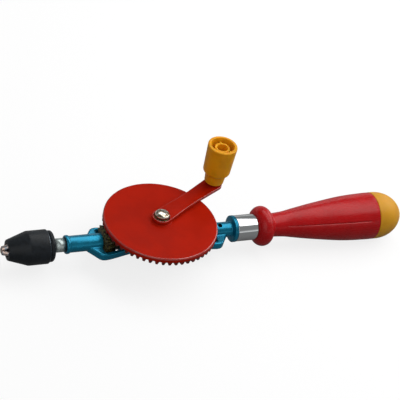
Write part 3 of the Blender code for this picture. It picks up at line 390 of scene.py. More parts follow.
def grip_plastic():
    """Cellulose acetate, moulded and polished: glossy, with fine rubbed lines along the grip."""
    colour = colours().grip_red
    made, tree, shader, place = begin("red_moulded_acetate", ior=1.48, specular_ior_level=0.28)
    along = stretched(tree, place, (0.06, 1.0, 1.0))
    rubbed = noise(tree, along, 0.7 * MM, 3.0, 0.65)
    cloud = noise(tree, place, 16 * MM, 3.0)
    vary_colour(tree, shader, cloud, shade(colour, 0.93), shade(colour, 1.05))
    vary_roughness(tree, shader, rubbed, 0.16, 0.38)
    raise_bump(tree, shader, rubbed, 0.012 * MM, 0.5)
    return made


def waxy_plastic(name, colour, marks):
    """Polyethylene, moulded: satin and slightly waxy, so that thin walls glow a little at their edges."""
    made, tree, shader, place = begin(name, ior=1.5, specular_ior_level=0.2, subsurface_weight=0.42,
                                      subsurface_radius=(1.0, 0.5, 0.08), subsurface_scale=2.2 * MM)
    cloud = noise(tree, place, 11 * MM, 4.0, 0.6)
    vary_colour(tree, shader, cloud, shade(colour, 1.0 - marks), shade(colour, 1.0 + marks / 2))
    vary_roughness(tree, shader, cloud, 0.36, 0.50)
    grain = noise(tree, place, 0.5 * MM, 2.0)
    raise_bump(tree, shader, grain, 0.010 * MM, 0.6)
    return made


def knob_plastic():
    """The knob's amber polyethylene."""
    return waxy_plastic("amber_moulded_polyethylene", colours().knob_amber, 0.10)


def cap_plastic():
    """The end cap's yellow polyethylene."""
    return waxy_plastic("yellow_moulded_polyethylene", colours().cap_yellow, 0.05)


def chuck_finish():
    """Black oxide on turned steel: matt and oily, with the fine lines of the tool that turned it."""
    colour = colours().chuck_black
    made, tree, shader, place = begin("black_oxide_steel", metallic=0.0, ior=1.5, specular_ior_level=0.24)
    cloud = noise(tree, place, 5 * MM, 4.0, 0.65)
    vary_colour(tree, shader, cloud, shade(colour, 0.75), shade(colour, 1.45))
    vary_roughness(tree, shader, cloud, 0.36, 0.50)
    # Tool lines run round the chuck, drawn at 0.6 mm apart so that they show
    across = stretched(tree, place, (1.0, 0.03, 0.03))
    lines = noise(tree, across, 0.6 * MM, 2.0)
    raise_bump(tree, shader, lines, 0.015 * MM, 0.6)
    return made


def chuck_edge_painted_highlight():
    """The chuck's back edge, lighter blue-grey and glossier than the rest of the oxide: a painted highlight
    that draws a thin blue-grey line of light.
    """
    made, tree, shader, place = begin("oxide_edge_painted_highlight", metallic=0.6, ior=1.5, specular_ior_level=0.6)
    cloud = noise(tree, place, 2 * MM, 2.0)
    # Painted highlight: the light blue-grey stands in for the light that the rounded back edge catches.
    vary_colour(tree, shader, cloud, linear("2A323A"), linear("5C6872"))
    vary_roughness(tree, shader, cloud, 0.22, 0.34)
    return made


def chrome_plate():
    """Bright chromium on drawn tube: a mirror with faint polishing lines round it."""
    made, tree, shader, place = begin("chrome_plate", base_color=full(linear("C2C5C6")), metallic=1.0)
    across = stretched(tree, place, (1.0, 0.05, 0.05))
    lines = noise(tree, across, 0.5 * MM, 2.0)
    vary_roughness(tree, shader, lines, 0.05, 0.13)
    raise_bump(tree, shader, lines, 0.004 * MM, 0.5)
    return made


def turned_steel():
    """Mild steel, turned and left bright: silver-grey, with tool lines that stretch the highlights."""
    made, tree, shader, place = begin("bright_turned_steel", metallic=1.0)
    cloud = noise(tree, place, 3 * MM, 3.0)
    vary_colour(tree, shader, cloud, linear("9CA6A4"), linear("BCC8C6"))
    vary_roughness(tree, shader, cloud, 0.32, 0.44)
    across = stretched(tree, place, (1.0, 0.05, 0.05))
    lines = noise(tree, across, 0.35 * MM, 2.0)
    raise_bump(tree, shader, lines, 0.006 * MM, 0.6)
    return made


def stud_steel():
    """Mild steel, headed and faced in a lathe: rings about the stud and a few dull spots."""
    made, tree, shader, place = begin("faced_stud_steel", metallic=1.0)
    cloud = noise(tree, place, 2.2 * MM, 3.0)
    vary_colour(tree, shader, cloud, linear("786850"), linear("D0CCC2"))
    vary_roughness(tree, shader, cloud, 0.10, 0.22)
    rings = add_node(tree, "ShaderNodeTexWave", {"Scale": 1 / (6 * MM), "Distortion": 1.0}, {"Vector": place},
                     wave_type="RINGS", rings_direction="Z")
    raise_bump(tree, shader, rings.outputs[0], 0.010 * MM, 0.6)
    return made


def jaw_steel():
    """Hardened jaw steel, ground: patches of a warm straw tint over blue-grey."""
    made, tree, shader, place = begin("ground_jaw_steel", metallic=1.0, roughness=0.30)
    cloud = noise(tree, place, 2.6 * MM, 1.0)
    vary_colour(tree, shader, cloud, linear("8C9AA6"), linear("C9AFA0"))
    grain = noise(tree, place, 0.4 * MM, 1.0)
    raise_bump(tree, shader, grain, 0.006 * MM, 0.6)
    return made


def greased_teeth():
    """Cut steel teeth under dark grease: olive and brown, wet where the grease is thick."""
    made, tree, shader, place = begin("greased_cut_steel", metallic=0.15, ior=1.47, specular_ior_level=0.3)
    cloud = noise(tree, place, 1.7 * MM, 4.0, 0.7)
    vary_colour(tree, shader, cloud, linear("0B0A07"), linear("6A6238"), 0.42, 0.62)
    vary_roughness(tree, shader, cloud, 0.24, 0.50)
    raise_bump(tree, shader, cloud, 0.10 * MM, 0.7)
    return made


def sintered_bronze():
    """Sintered bronze, oiled: dull brown-gold with open pores."""
    made, tree, shader, place = begin("oiled_sintered_bronze", metallic=0.9, roughness=0.42)
    pores = noise(tree, place, 0.3 * MM, 2.0)
    vary_colour(tree, shader, pores, linear("5C4326"), linear("9A7444"))
    raise_bump(tree, shader, pores, 0.02 * MM, 0.6)
    return made


def painted_hole_shade():
    """Near-black painted shade for the drilled oil hole in the casting, standing in for the darkness inside
    the hole.
    """
    made, tree, shader, place = begin("hole_painted_dark_shade", roughness=0.6, specular_ior_level=0.0)
    cloud = noise(tree, place, 0.6 * MM, 2.0)
    vary_colour(tree, shader, cloud, linear("030608"), linear("0A1114"))
    return made


FINISHES = {
    "red_enamel": (red_enamel, "red_paint"),
    "edge_enamel": (edge_enamel, "red_paint"),
    "greased_enamel_and_painted_shade": (greased_enamel_and_painted_shade, "red_paint"),
    "blue_enamel": (blue_enamel, "blue_paint"),
    "grip_plastic": (grip_plastic, "red_plastic"),
    "knob_plastic": (knob_plastic, "yellow_plastic"),
    "cap_plastic": (cap_plastic, "yellow_plastic"),
    "chuck_finish": (chuck_finish, "black_oxide"),
    "chuck_edge_painted_highlight": (chuck_edge_painted_highlight, "black_oxide"),
    "chrome_plate": (chrome_plate, "chrome"),
    "turned_steel": (turned_steel, "bright_steel"),
    "stud_steel": (stud_steel, "bright_steel"),
    "jaw_steel": (jaw_steel, "bright_steel"),
    "greased_teeth": (greased_teeth, "greased_steel"),
    "sintered_bronze": (sintered_bronze, "bronze"),
    "painted_hole_shade": (painted_hole_shade, "black_oxide"),
}
MADE_FINISHES = {}


def finish(name):
    """The material of a finish, made the first time that it is asked for."""
    if name not in MADE_FINISHES:
        MADE_FINISHES[name] = FINISHES[name][0]()
    return MADE_FINISHES[name]


# Shapes

def rounded(corners, ring=False, facets=4):
    """Profile points (place, radius) from corners (place, radius, reach of the round at that corner)."""
    points = []
    last = len(corners) - 1
    for index, (along, radius, reach) in enumerate(corners):
        corner = Vector((along, radius))
        if reach == 0 or (not ring and index in (0, last)):
            points.append(corner)
            continue
        before = Vector(corners[index - 1][:2]) - corner
        after = Vector(corners[(index + 1) % len(corners)][:2]) - corner
        reach = min(reach, before.length * 0.49, after.length * 0.49)
        start = corner + before.normalized() * reach
        end = corner + after.normalized() * reach
        for step in range(facets + 1):
            share = step / facets
            points.append(start * (1 - share) ** 2 + corner * 2 * share * (1 - share) + end * share ** 2)
    return points


def ellipse(centre, half, start, end, points):
    """Points of an ellipse's arc as (place, radius)."""
    found = []
    for index in range(points):
        angle = start + (end - start) * index / (points - 1)
        found.append(Vector((centre[0] + half[0] * math.cos(angle), centre[1] + half[1] * math.sin(angle))))
    return found


def flowing(points, count):
    """A smooth line through points whose places rise, as count points."""
    slopes = []
    for index in range(len(points)):
        low = points[max(index - 1, 0)]
        high = points[min(index + 1, len(points) - 1)]
        slopes.append((high[1] - low[1]) / (high[0] - low[0]))
    found = []
    segment = 0
    for index in range(count):
        along = points[0][0] + (points[-1][0] - points[0][0]) * index / (count - 1)
        while segment < len(points) - 2 and along > points[segment + 1][0]:
            segment += 1
        low, high = points[segment], points[segment + 1]
        width = high[0] - low[0]
        share = (along - low[0]) / width
        square, cube = share ** 2, share ** 3
        rise = (2 * cube - 3 * square + 1) * low[1] + (cube - 2 * square + share) * width * slopes[segment]
        rise += (3 * square - 2 * cube) * high[1] + (cube - square) * width * slopes[segment + 1]
        found.append(Vector((along, rise)))
    return found


def spun(profile, steps, axis="X", centre=(0, 0, 0), ring=False):
    """Turn a profile of (place, radius) points about an axis into a closed shape."""
    along = Vector((1, 0, 0)) if axis == "X" else Vector((0, 0, 1))
    across = Vector((0, 0, 1)) if axis == "X" else Vector((1, 0, 0))
    middle = Vector(centre)
    shape = bmesh.new()
    verts = [shape.verts.new(middle + along * place + across * radius) for place, radius in profile]
    edges = [shape.edges.new(pair) for pair in zip(verts, verts[1:])]
    if ring:
        edges.append(shape.edges.new((verts[-1], verts[0])))
    bmesh.ops.spin(shape, geom=verts + edges, cent=middle, axis=along, angle=FULL_TURN, steps=steps,
                   use_merge=True, use_duplicate=False)
    bmesh.ops.remove_doubles(shape, verts=shape.verts, dist=MERGE)
    bmesh.ops.recalc_face_normals(shape, faces=shape.faces)
    return shape


def flat_plate(outlines, low, high):
    """A plate between two heights from closed outlines of (x, y) points; later outlines are holes."""
    shape = bmesh.new()
    edges = []
    for outline in outlines:
        verts = [shape.verts.new((x, y, low)) for x, y in outline]
        edges += [shape.edges.new(pair) for pair in zip(verts, verts[1:] + verts[:1])]
    filled = bmesh.ops.triangle_fill(shape, use_beauty=True, use_dissolve=False, edges=edges)
    faces = [item for item in filled["geom"] if isinstance(item, bmesh.types.BMFace)]
    grown = bmesh.ops.extrude_face_region(shape, geom=faces, use_keep_orig=True)
    tops = [item for item in grown["geom"] if isinstance(item, bmesh.types.BMVert)]
    bmesh.ops.translate(shape, verts=tops, vec=(0, 0, high - low))
    bmesh.ops.recalc_face_normals(shape, faces=shape.faces)
    return shape


def round_rim_edges(shape, reach, segments=3):
    """Round the sharp edges of a plate."""
    sharp = [edge for edge in shape.edges
             if len(edge.link_faces) == 2 and edge.calc_face_angle() > SHARP_EDGE]
    bmesh.ops.bevel(shape, geom=sharp, offset=reach, offset_type="OFFSET", affect="EDGES", segments=segments,
                    profile=0.5, material=-1, clamp_overlap=True)


def circle(centre, radius, points, start=0.0, end=FULL_TURN, closed=True):
    """Points of a circle or an arc in the plan."""
    count = points if closed else points - 1
    return [(centre[0] + radius * math.cos(start + (end - start) * index / count),
             centre[1] + radius * math.sin(start + (end - start) * index / count)) for index in range(points)]


def merge_in(shape, other):
    """Add another shape to a shape."""
    mesh = bpy.data.meshes.new("merged")
    other.to_mesh(mesh)
    other.free()
    shape.from_mesh(mesh)
    bpy.data.meshes.remove(mesh)


def merged_copy(node):
    """A merged copy of a CAD node, whose own triangles are loose, drawn about the tool axis."""
    shape = bmesh.new()
    shape.from_mesh(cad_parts[node].data)
    bmesh.ops.remove_doubles(shape, verts=shape.verts, dist=MERGE)
    bmesh.ops.translate(shape, verts=shape.verts, vec=(0, 0, -AXIS))
    return shape


def add_piece(shape, name, body, finish_name, nodes=(), crease=CREASE):
    """Lift a shape to the frame's height and make it a piece that rides on a body."""
    bmesh.ops.translate(shape, verts=shape.verts, vec=(0, 0, AXIS))
    mesh = bpy.data.meshes.new(name)
    shape.to_mesh(mesh)
    shape.free()
    mesh.materials.append(finish(finish_name))
    mesh.shade_smooth()
    mesh.set_sharp_from_angle(angle=crease)
    made = bpy.data.objects.new(name, mesh)
    bpy.context.scene.collection.objects.link(made)
    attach(made, body)
    if nodes:
        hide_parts(*nodes)
    return made


def finish_faces(made, finish_name, chosen):
    """Give a second finish to the faces that a test picks by their centre and their normal."""
    made.data.materials.append(finish(finish_name))
    for face in made.data.polygons:
        if chosen(face.center, face.normal):
            face.material_index = 1


def apply_modifiers(made):
    """Bake a piece's modifiers into its mesh."""
    bpy.context.view_layer.update()
    baked = bpy.data.meshes.new_from_object(made.evaluated_get(bpy.context.evaluated_depsgraph_get()))
    made.modifiers.clear()
    made.data = baked
    return baked


def dressed(node, body, finish_name, crease=CREASE):
    """A smooth-shaded copy of a CAD node whose shape is right."""
    return add_piece(merged_copy(node), f"{node}_finished", body, finish_name, (node,), crease)


# Pieces

class HANDDRILL_OT_stage(Operator):
    """Make the camera, the lamps, the world and the pale floor"""

    bl_idname = "hand_drill.stage"
    bl_label = "Stage"

    def execute(self, context):
        camera = bpy.data.objects.new("camera", bpy.data.cameras.new("camera"))
        right = Vector((0.9156, -0.3492, 0.1993))
        up = Vector((0.0788, 0.6420, 0.7626))
        back = Vector((-0.3942, -0.6826, 0.6153))
        place = Vector((-0.39731, -0.73846, 0.69933 + AXIS))
        turn = Matrix((right, up, back)).transposed().to_4x4()
        camera.matrix_world = Matrix.Translation(place) @ turn
        camera.data.sensor_width = 36.0
        camera.data.lens = LENS
        camera.data.clip_start = 0.05
        context.scene.collection.objects.link(camera)
        context.scene.camera = camera
        lamps = (
            # name, direction from the drill, distance, size across the drill, size along Y, power
            ("ceiling_panel", (0.39, 0.17, 0.91), 0.95, 0.50, 1.50, 6.4),
            ("side_window", (0.84, 0.17, 0.47), 1.05, 0.40, 0.90, 3.5),
            ("front_fill", (-0.50, -0.62, 0.60), 1.50, 1.20, 1.20, 4.1),
        )
        for name, direction, distance, width, depth, power in lamps:
            lamp = bpy.data.lights.new(name, "AREA")
            lamp.shape = "RECTANGLE"
            lamp.size = width
            lamp.size_y = depth
            lamp.energy = power
            lit = bpy.data.objects.new(name, lamp)
            aim = Vector(direction).normalized()
            lit.location = aim * distance + Vector((0, 0, AXIS))
            lit.rotation_euler = aim.to_track_quat("Z", "X").to_euler()
            context.scene.collection.objects.link(lit)
        self.light_world(context)
        self.lay_floor()
        context.scene.view_settings.view_transform = "Standard"
        return {"FINISHED"}

    def light_world(self, context):
        """White at the horizon, as a background and in reflections, grey overhead, and softer as light."""
        world = bpy.data.worlds.new("studio")
        world.use_nodes = True
        tree = world.node_tree
        tree.nodes.clear()
        ray = add_node(tree, "ShaderNodeLightPath").outputs
        seen = greatest(tree, ray["Is Camera Ray"], ray["Is Glossy Ray"], ray["Is Transmission Ray"])
        sky = add_node(tree, "ShaderNodeTexCoord").outputs["Generated"]
        height = add_node(tree, "ShaderNodeSeparateXYZ", links={0: sky})
        ends = {"From Min": 0.02, "From Max": 0.32, "To Min": 1.0, "To Max": 0.32}
        ceiling = add_node(tree, "ShaderNodeMapRange", ends, {"Value": height.outputs[2]},
                           interpolation_type="SMOOTHSTEP")
        soft = add_node(tree, "ShaderNodeBackground", {"Color": (1, 1, 1, 1), "Strength": 0.30})
        white = add_node(tree, "ShaderNodeBackground", {"Color": (1, 1, 1, 1)},
                         {"Strength": ceiling.outputs[0]})
        blend = add_node(tree, "ShaderNodeMixShader",
                         links={0: seen, 1: soft.outputs[0], 2: white.outputs[0]})
        add_node(tree, "ShaderNodeOutputWorld", links={"Surface": blend.outputs[0]})
        context.scene.world = world

    def lay_floor(self):
        """A wide plane just under the lowest piece."""
        shape = bmesh.new()
        bmesh.ops.create_grid(shape, x_segments=1, y_segments=1, size=FLOOR_SIZE)
        lowest = min(low.z for low, high in BOX.values())
        bmesh.ops.translate(shape, verts=shape.verts, vec=(0, 0, lowest - 0.2 * MM))
        mesh = bpy.data.meshes.new("floor")
        shape.to_mesh(mesh)
        shape.free()
        made = bpy.data.materials.new("pale_floor")
        made.use_nodes = True
        tree = made.node_tree
        tree.nodes.clear()
        ray = add_node(tree, "ShaderNodeLightPath").outputs
        mirrored = add_node(tree, "ShaderNodeMath", {1: FLOOR_MIRRORED}, {0: ray["Is Glossy Ray"]},
                            operation="MULTIPLY")
        seen = greatest(tree, ray["Is Camera Ray"], mirrored.outputs[0], ray["Is Transmission Ray"])
        lit = add_node(tree, "ShaderNodeBsdfDiffuse", {"Color": (1, 1, 1, 1)})
        glow = add_node(tree, "ShaderNodeEmission", {"Color": (1, 1, 1, 1), "Strength": 1.0})
        pale = add_node(tree, "ShaderNodeMixShader", {0: FLOOR_GLOW}, {1: lit.outputs[0], 2: glow.outputs[0]})
        grey = add_node(tree, "ShaderNodeBsdfDiffuse", {"Color": full(linear("747474"))})
        blend = add_node(tree, "ShaderNodeMixShader", links={0: seen, 1: grey.outputs[0], 2: pale.outputs[0]})
        add_node(tree, "ShaderNodeOutputMaterial", links={"Surface": blend.outputs[0]})
        mesh.materials.append(made)
        floor = bpy.data.objects.new("floor", mesh)
        bpy.context.scene.collection.objects.link(floor)


class HANDDRILL_OT_casting(Operator):
    """Make the blue casting: filleted webs and hub, the nose tube, and the neck with its flange"""

    bl_idname = "hand_drill.casting"
    bl_label = "Frame casting"

    def execute(self, context):
        node = "frame_casting"
        webs = add_piece(merged_copy(node), "casting_webs", "frame", "blue_enamel", (node,))
        cells = webs.modifiers.new("cells", "REMESH")
        cells.mode = "VOXEL"
        cells.voxel_size = sizes().cast_grain
        cells.use_smooth_shade = True
        relax = webs.modifiers.new("relax", "SMOOTH")
        relax.factor = 0.5
        relax.iterations = 4
        baked = apply_modifiers(webs)
        baked.name = "casting_webs"
        self.nose(sizes().edge_round)
        self.neck(sizes().edge_round)
        return {"FINISHED"}

    def nose(self, edge):
        """The tube that the spindle runs in, with a bead round its mouth."""
        centre = NOSE_FRONT + NOSE_BEAD / 2
        half = (NOSE_BEAD / 2 + SKIN, NOSE_BEAD_RADIUS - NOSE_BEAD_BASE)
        bead = ellipse((centre, NOSE_BEAD_BASE), half, math.pi, 0, 16)
        mouth = [Vector(point) for point in (
            (NOSE_FRONT + NOSE_COUNTERBORE, NOSE_BORE), (NOSE_FRONT + NOSE_COUNTERBORE, NOSE_MOUTH - SKIN),
            (NOSE_FRONT + edge / 3, NOSE_MOUTH - SKIN), (NOSE_FRONT - SKIN, NOSE_MOUTH + edge / 3))]
        root = NOSE_FRONT + NOSE_BEAD + SKIN
        tail = [(root, NOSE_RADIUS + edge / 2, 0), (root, NOSE_RADIUS + SKIN, edge / 2),
                (root + edge, NOSE_RADIUS + SKIN, 0), (-WINDOW_FAR, NOSE_RADIUS + SKIN, edge / 2),
                (-WINDOW_FAR, NOSE_BORE, 0)]
        profile = mouth + bead + rounded(tail)
        shape = spun(profile, 96, ring=True)
        add_piece(shape, "nose_tube", "frame", "blue_enamel")

    def neck(self, edge):
        """The round neck behind the wheel, its domed flange, and the bead against the ferrule."""
        radius = FLANGE_RADIUS + SKIN
        half = (FLANGE_DOME + SKIN, radius - NECK_RADIUS)
        dome = ellipse((NECK_END + FLANGE_DOME, NECK_RADIUS), half, math.pi, math.pi / 2, 16)
        groove = NECK_END + FLANGE_DOME + FLANGE_GROOVE / 2
        bend = FLANGE_GROOVE / 4
        tail = [(groove, radius, bend), (groove + FLANGE_GROOVE, radius - FLANGE_GROOVE, bend),
                (groove + 2 * FLANGE_GROOVE, radius, bend), (FLANGE_END - SKIN, radius, 2 * bend),
                (FLANGE_END - SKIN, 0, 0)]
        fillet = rounded([(WINDOW_FAR, 0, 0), (WINDOW_FAR, NECK_RADIUS + SKIN, edge / 2),
                          (NECK_END - SKIN, NECK_RADIUS + SKIN, 2 * edge), (*dome[4], 0)], False, 6)
        profile = fillet[:-1] + dome[4:] + rounded(tail)
        add_piece(spun(profile, 96), "neck_flange", "frame", "blue_enamel")
        # The oil hole is a shallow plug, sunk into the neck and a little proud of it, painted near-black as
        # the hole's shade.
        deep = NECK_RADIUS - OIL_HOLE_DEPTH
        proud = NECK_RADIUS + OIL_HOLE_RISE
        wide = OIL_HOLE_RADIUS + 0.1 * MM
        plug = [(deep, 0, 0), (deep, OIL_HOLE_RADIUS, 0), (proud, wide, 0), (proud, 0, 0)]
        hole = spun(rounded(plug), 32, "Z", (OIL_HOLE, 0, 0))
        turn = Matrix.Rotation(OIL_HOLE_TURN, 3, "X")
        bmesh.ops.rotate(hole, verts=hole.verts, cent=(0, 0, 0), matrix=turn)
        add_piece(hole, "oil_hole_painted_shade", "frame", "painted_hole_shade")


class HANDDRILL_OT_gear_wheel(Operator):
    """Make the painted wheel with its rounded rim and bevel teeth"""

    bl_idname = "hand_drill.gear_wheel"
    bl_label = "Gear wheel"

    def execute(self, context):
        inner = WHEEL_RADIUS - TOOTH_FACE
        edge = sizes().edge_round
        profile = rounded([
            (BOSS_TOP, WHEEL_BORE, 0.1 * MM), (BOSS_TOP, BOSS_RADIUS, edge),
            (WHEEL_FACE, BOSS_RADIUS + BOSS_TOP - WHEEL_FACE, edge),
            (WHEEL_FACE, WHEEL_RADIUS, sizes().rim_round),
            (TOOTH_ROOT, WHEEL_RADIUS, 0.2 * MM), (TOOTH_ROOT * inner / WHEEL_RADIUS, inner, 0.2 * MM),
            (WHEEL_UNDER, inner, 1.0 * MM), (WHEEL_UNDER, WHEEL_BORE, 0.1 * MM)], True, 5)
        shape = spun(profile, sizes().fine_steps, "Z", ring=True)
        wheel = add_piece(shape, "wheel", "crank", "red_enamel", ("gear_wheel",))
        finish_faces(wheel, "edge_enamel",
                     lambda centre, normal: 0.1 < normal.z < 0.98 and centre.xy.length > inner)
        add_piece(self.teeth(inner), "wheel_teeth", "crank", "greased_enamel_and_painted_shade")
        return {"FINISHED"}

    def teeth(self, inner):
        """Wedges that point at the crossing of the axes, copied round the wheel."""
        pitch = FULL_TURN * WHEEL_RADIUS / WHEEL_TEETH
        half = pitch * TOOTH_SHARE / 2
        slope = math.tan(TOOTH_FLANK)
        tip_half = half - (TOOTH_PITCH - TOOTH_TIP) * slope
        root_half = half + (TOOTH_ROOT - TOOTH_PITCH) * slope
        large = WHEEL_RADIUS - 0.05 * MM
        outline = [(large, -root_half, TOOTH_ROOT + 0.4 * MM), (large, -root_half, TOOTH_ROOT),
                   (large, -tip_half, TOOTH_TIP), (large, tip_half, TOOTH_TIP),
                   (large, root_half, TOOTH_ROOT), (large, root_half, TOOTH_ROOT + 0.4 * MM)]
        tooth = bmesh.new()
        face = tooth.faces.new([tooth.verts.new(point) for point in outline])
        grown = bmesh.ops.extrude_face_region(tooth, geom=[face], use_keep_orig=True)
        small = [item for item in grown["geom"] if isinstance(item, bmesh.types.BMVert)]
        share = inner / WHEEL_RADIUS
        bmesh.ops.scale(tooth, verts=small, vec=(share, share, share))
        bmesh.ops.recalc_face_normals(tooth, faces=tooth.faces)
        worn = [edge for edge in tooth.edges
                if min(vert.co.z / vert.co.x for vert in edge.verts) < TOOTH_TIP_SLOPE]
        bmesh.ops.bevel(tooth, geom=worn, offset=TOOTH_WEAR, offset_type="OFFSET", affect="EDGES", segments=2,
                        profile=0.5, material=-1, clamp_overlap=True)
        bmesh.ops.remove_doubles(tooth, verts=tooth.verts, dist=MERGE)
        bmesh.ops.dissolve_degenerate(tooth, dist=MERGE, edges=tooth.edges)
        half_pitch = Matrix.Rotation(math.pi / WHEEL_TEETH, 4, "Z")
        bmesh.ops.transform(tooth, matrix=half_pitch, verts=tooth.verts)
        copies = WHEEL_TEETH - 1
        bmesh.ops.spin(tooth, geom=list(tooth.verts) + list(tooth.edges) + list(tooth.faces), cent=(0, 0, 0),
                       axis=(0, 0, 1), angle=FULL_TURN * copies / WHEEL_TEETH, steps=copies,
                       use_duplicate=True)
        return tooth


class HANDDRILL_OT_wheel_centre(Operator):
    """Make the stud's domed head and dress the bush and washers under it"""

    bl_idname = "hand_drill.wheel_centre"
    bl_label = "Stud, bush and washers"

    def execute(self, context):
        base = STUD_TOP - STUD_HEAD
        dome = ellipse((base + STUD_HEAD * 0.22, 0), (STUD_HEAD * 0.78, STUD_HEAD_RADIUS), math.pi / 2, 0, 14)
        dome[-1].y = 0
        profile = [Vector((STUD_LOW, 0))] + rounded([
            (STUD_LOW, STUD_RADIUS - STUD_CHAMFER, 0), (STUD_LOW + STUD_CHAMFER, STUD_RADIUS, 0),
            (base, STUD_RADIUS, 0), (base, STUD_HEAD_RADIUS, STUD_CHAMFER / 2),
            (base + STUD_HEAD * 0.2, STUD_HEAD_RADIUS, 0)])
        add_piece(spun(profile + dome, 72, "Z"), "stud_head", "frame", "stud_steel", ("axle_stud",))
        dressed("arm_washer", "frame", "greased_teeth")
        dressed("wheel_bush", "crank", "greased_teeth")
        dressed("hub_washer", "frame", "sintered_bronze")
        return {"FINISHED"}


class HANDDRILL_OT_crank_arm(Operator):
    """Make the flat painted arm with its rounded edges"""

    bl_idname = "hand_drill.crank_arm"
    bl_label = "Crank arm"

    def execute(self, context):
        quarter = math.pi / 2
        tip = circle((ARM_REACH, 0), ARM_TIP_RADIUS, 25, -quarter, quarter, False)
        hub = circle((0, 0), ARM_HUB_RADIUS, 25, quarter, 3 * quarter, False)
        upper = [(ARM_REACH * share, ARM_WAIST) for share in ARM_WAIST_SHARES]
        lower = [(x, -y) for x, y in reversed(upper)]
        shape = flat_plate([tip + upper + hub + lower, circle((0, 0), WHEEL_BORE, 48),
                            circle((ARM_REACH, 0), PIN_BORE, 32)], ARM_LOW, ARM_HIGH)
        round_rim_edges(shape, sizes().edge_round)
        bmesh.ops.rotate(shape, verts=shape.verts, cent=(0, 0, 0), matrix=Matrix.Rotation(ARM_ANGLE, 3, "Z"))
        arm = add_piece(shape, "arm", "crank", "red_enamel", ("crank_arm",))
        finish_faces(arm, "edge_enamel", lambda centre, normal: normal.z < 0.98)
        dressed("knob_pin", "crank", "turned_steel")
        return {"FINISHED"}


class HANDDRILL_OT_crank_knob(Operator):
    """Make the hollow knob: cup, collar, centre tube and ribs"""

    bl_idname = "hand_drill.crank_knob"
    bl_label = "Crank knob"

    def execute(self, context):
        low, high = KNOB_LOW, KNOB_HIGH
        shoulder = low + KNOB_COLLAR
        floor = low + KNOB_FLOOR
        inner_low = KNOB_SHOULDER_RADIUS - KNOB_WALL
        inner_high = KNOB_TOP_RADIUS - KNOB_WALL
        profile = rounded([
            (low, PIN_BORE, 0), (low, KNOB_BASE_RADIUS, 1.3 * MM),
            (shoulder - 0.4 * MM, KNOB_COLLAR_RADIUS, 0.8 * MM),
            (shoulder + 1.3 * MM, KNOB_SHOULDER_RADIUS, 1.0 * MM), (high, KNOB_TOP_RADIUS, 2.1 * MM),
            (high, inner_high, 0.45 * MM), (floor, inner_low, 0.8 * MM), (floor, PIN_BORE, 0)], True, 7)
        shape = spun(profile, 120, "Z", KNOB_CENTRE, True)
        tube_top = high - KNOB_TUBE_DROP
        tube = rounded([
            (floor - 0.5 * MM, KNOB_TUBE_BORE, 0), (floor - 0.5 * MM, KNOB_TUBE_RADIUS, 0),
            (tube_top, KNOB_TUBE_RADIUS, 0.6 * MM), (tube_top, KNOB_TUBE_BORE, 0.6 * MM)], True, 4)
        merge_in(shape, spun(tube, 72, "Z", KNOB_CENTRE, True))
        near = (KNOB_TUBE_BORE + KNOB_TUBE_RADIUS) / 2
        far = inner_low + KNOB_WALL / 2
        half = KNOB_RIB / 2
        for index in range(3):
            rib = flat_plate([[(near, -half), (far, -half), (far, half), (near, half)]], floor - 0.5 * MM,
                             tube_top - 0.6 * MM)
            round_rim_edges(rib, 0.3 * MM)
            turn = Matrix.Rotation(FULL_TURN * index / 3 + KNOB_RIB_ANGLE, 4, "Z")
            bmesh.ops.transform(rib, matrix=Matrix.Translation(KNOB_CENTRE) @ turn, verts=rib.verts)
            merge_in(shape, rib)
        add_piece(shape, "knob", "knob", "knob_plastic", ("crank_knob",))
        return {"FINISHED"}


class HANDDRILL_OT_chuck(Operator):
    """Make the chuck's black sleeve, and dress its body, ring and jaws"""

    bl_idname = "hand_drill.chuck"
    bl_label = "Chuck"

    def execute(self, context):
        cone_end = CHUCK_FRONT + CHUCK_CONE
        slope = (CHUCK_RADIUS - CHUCK_NOSE_RADIUS) / CHUCK_CONE
        seat = CHUCK_FRONT + NUT_SEAT
        seat_radius = CHUCK_NOSE_RADIUS + (seat - CHUCK_FRONT) * slope - SLEEVE_WALL
        lean = math.tan(JAW_LEAN)
        mouth_radius = JAW_TIP_OFFSET + JAW_SHOW * lean + JAW_RADIUS / math.cos(JAW_LEAN) + GAP
        mouth_end = mouth_radius + NUT_SEAT * lean
        profile = rounded([
            (CHUCK_FRONT, mouth_radius, 0.1 * MM), (CHUCK_FRONT, CHUCK_NOSE_RADIUS, 0.5 * MM),
            (cone_end, CHUCK_RADIUS, 0.8 * MM), (SLEEVE_BACK, CHUCK_RADIUS, CHUCK_BACK_ROUND),
            (SLEEVE_BACK, CHUCK_RADIUS - SLEEVE_WALL, 0), (cone_end, CHUCK_RADIUS - SLEEVE_WALL, 0),
            (seat, seat_radius, 0), (seat, mouth_end, 0)], True, 4)
        shape = spun(profile, sizes().fine_steps, ring=True)
        sleeve = add_piece(shape, "sleeve", "chuck_sleeve", "chuck_finish", ("chuck_sleeve",))
        # The rounded back edge of the sleeve takes the painted highlight finish.
        back = SLEEVE_BACK - CHUCK_BACK_ROUND
        finish_faces(sleeve, "chuck_edge_painted_highlight",
                     lambda centre, normal: centre.x > back and 0.05 < normal.x < 0.95)
        dressed("chuck_body", "spindle", "chuck_finish")
        dressed("chuck_nut", "chuck_sleeve", "turned_steel")
        for index in range(1, 4):
            jaw = dressed(f"chuck_jaw_{index}", f"jaw_{index}", "jaw_steel")
            worn = jaw.modifiers.new("worn edges", "BEVEL")
            worn.width = 0.15 * MM
            worn.segments = 2
            worn.limit_method = "ANGLE"
            worn.angle_limit = SHARP_EDGE
        return {"FINISHED"}


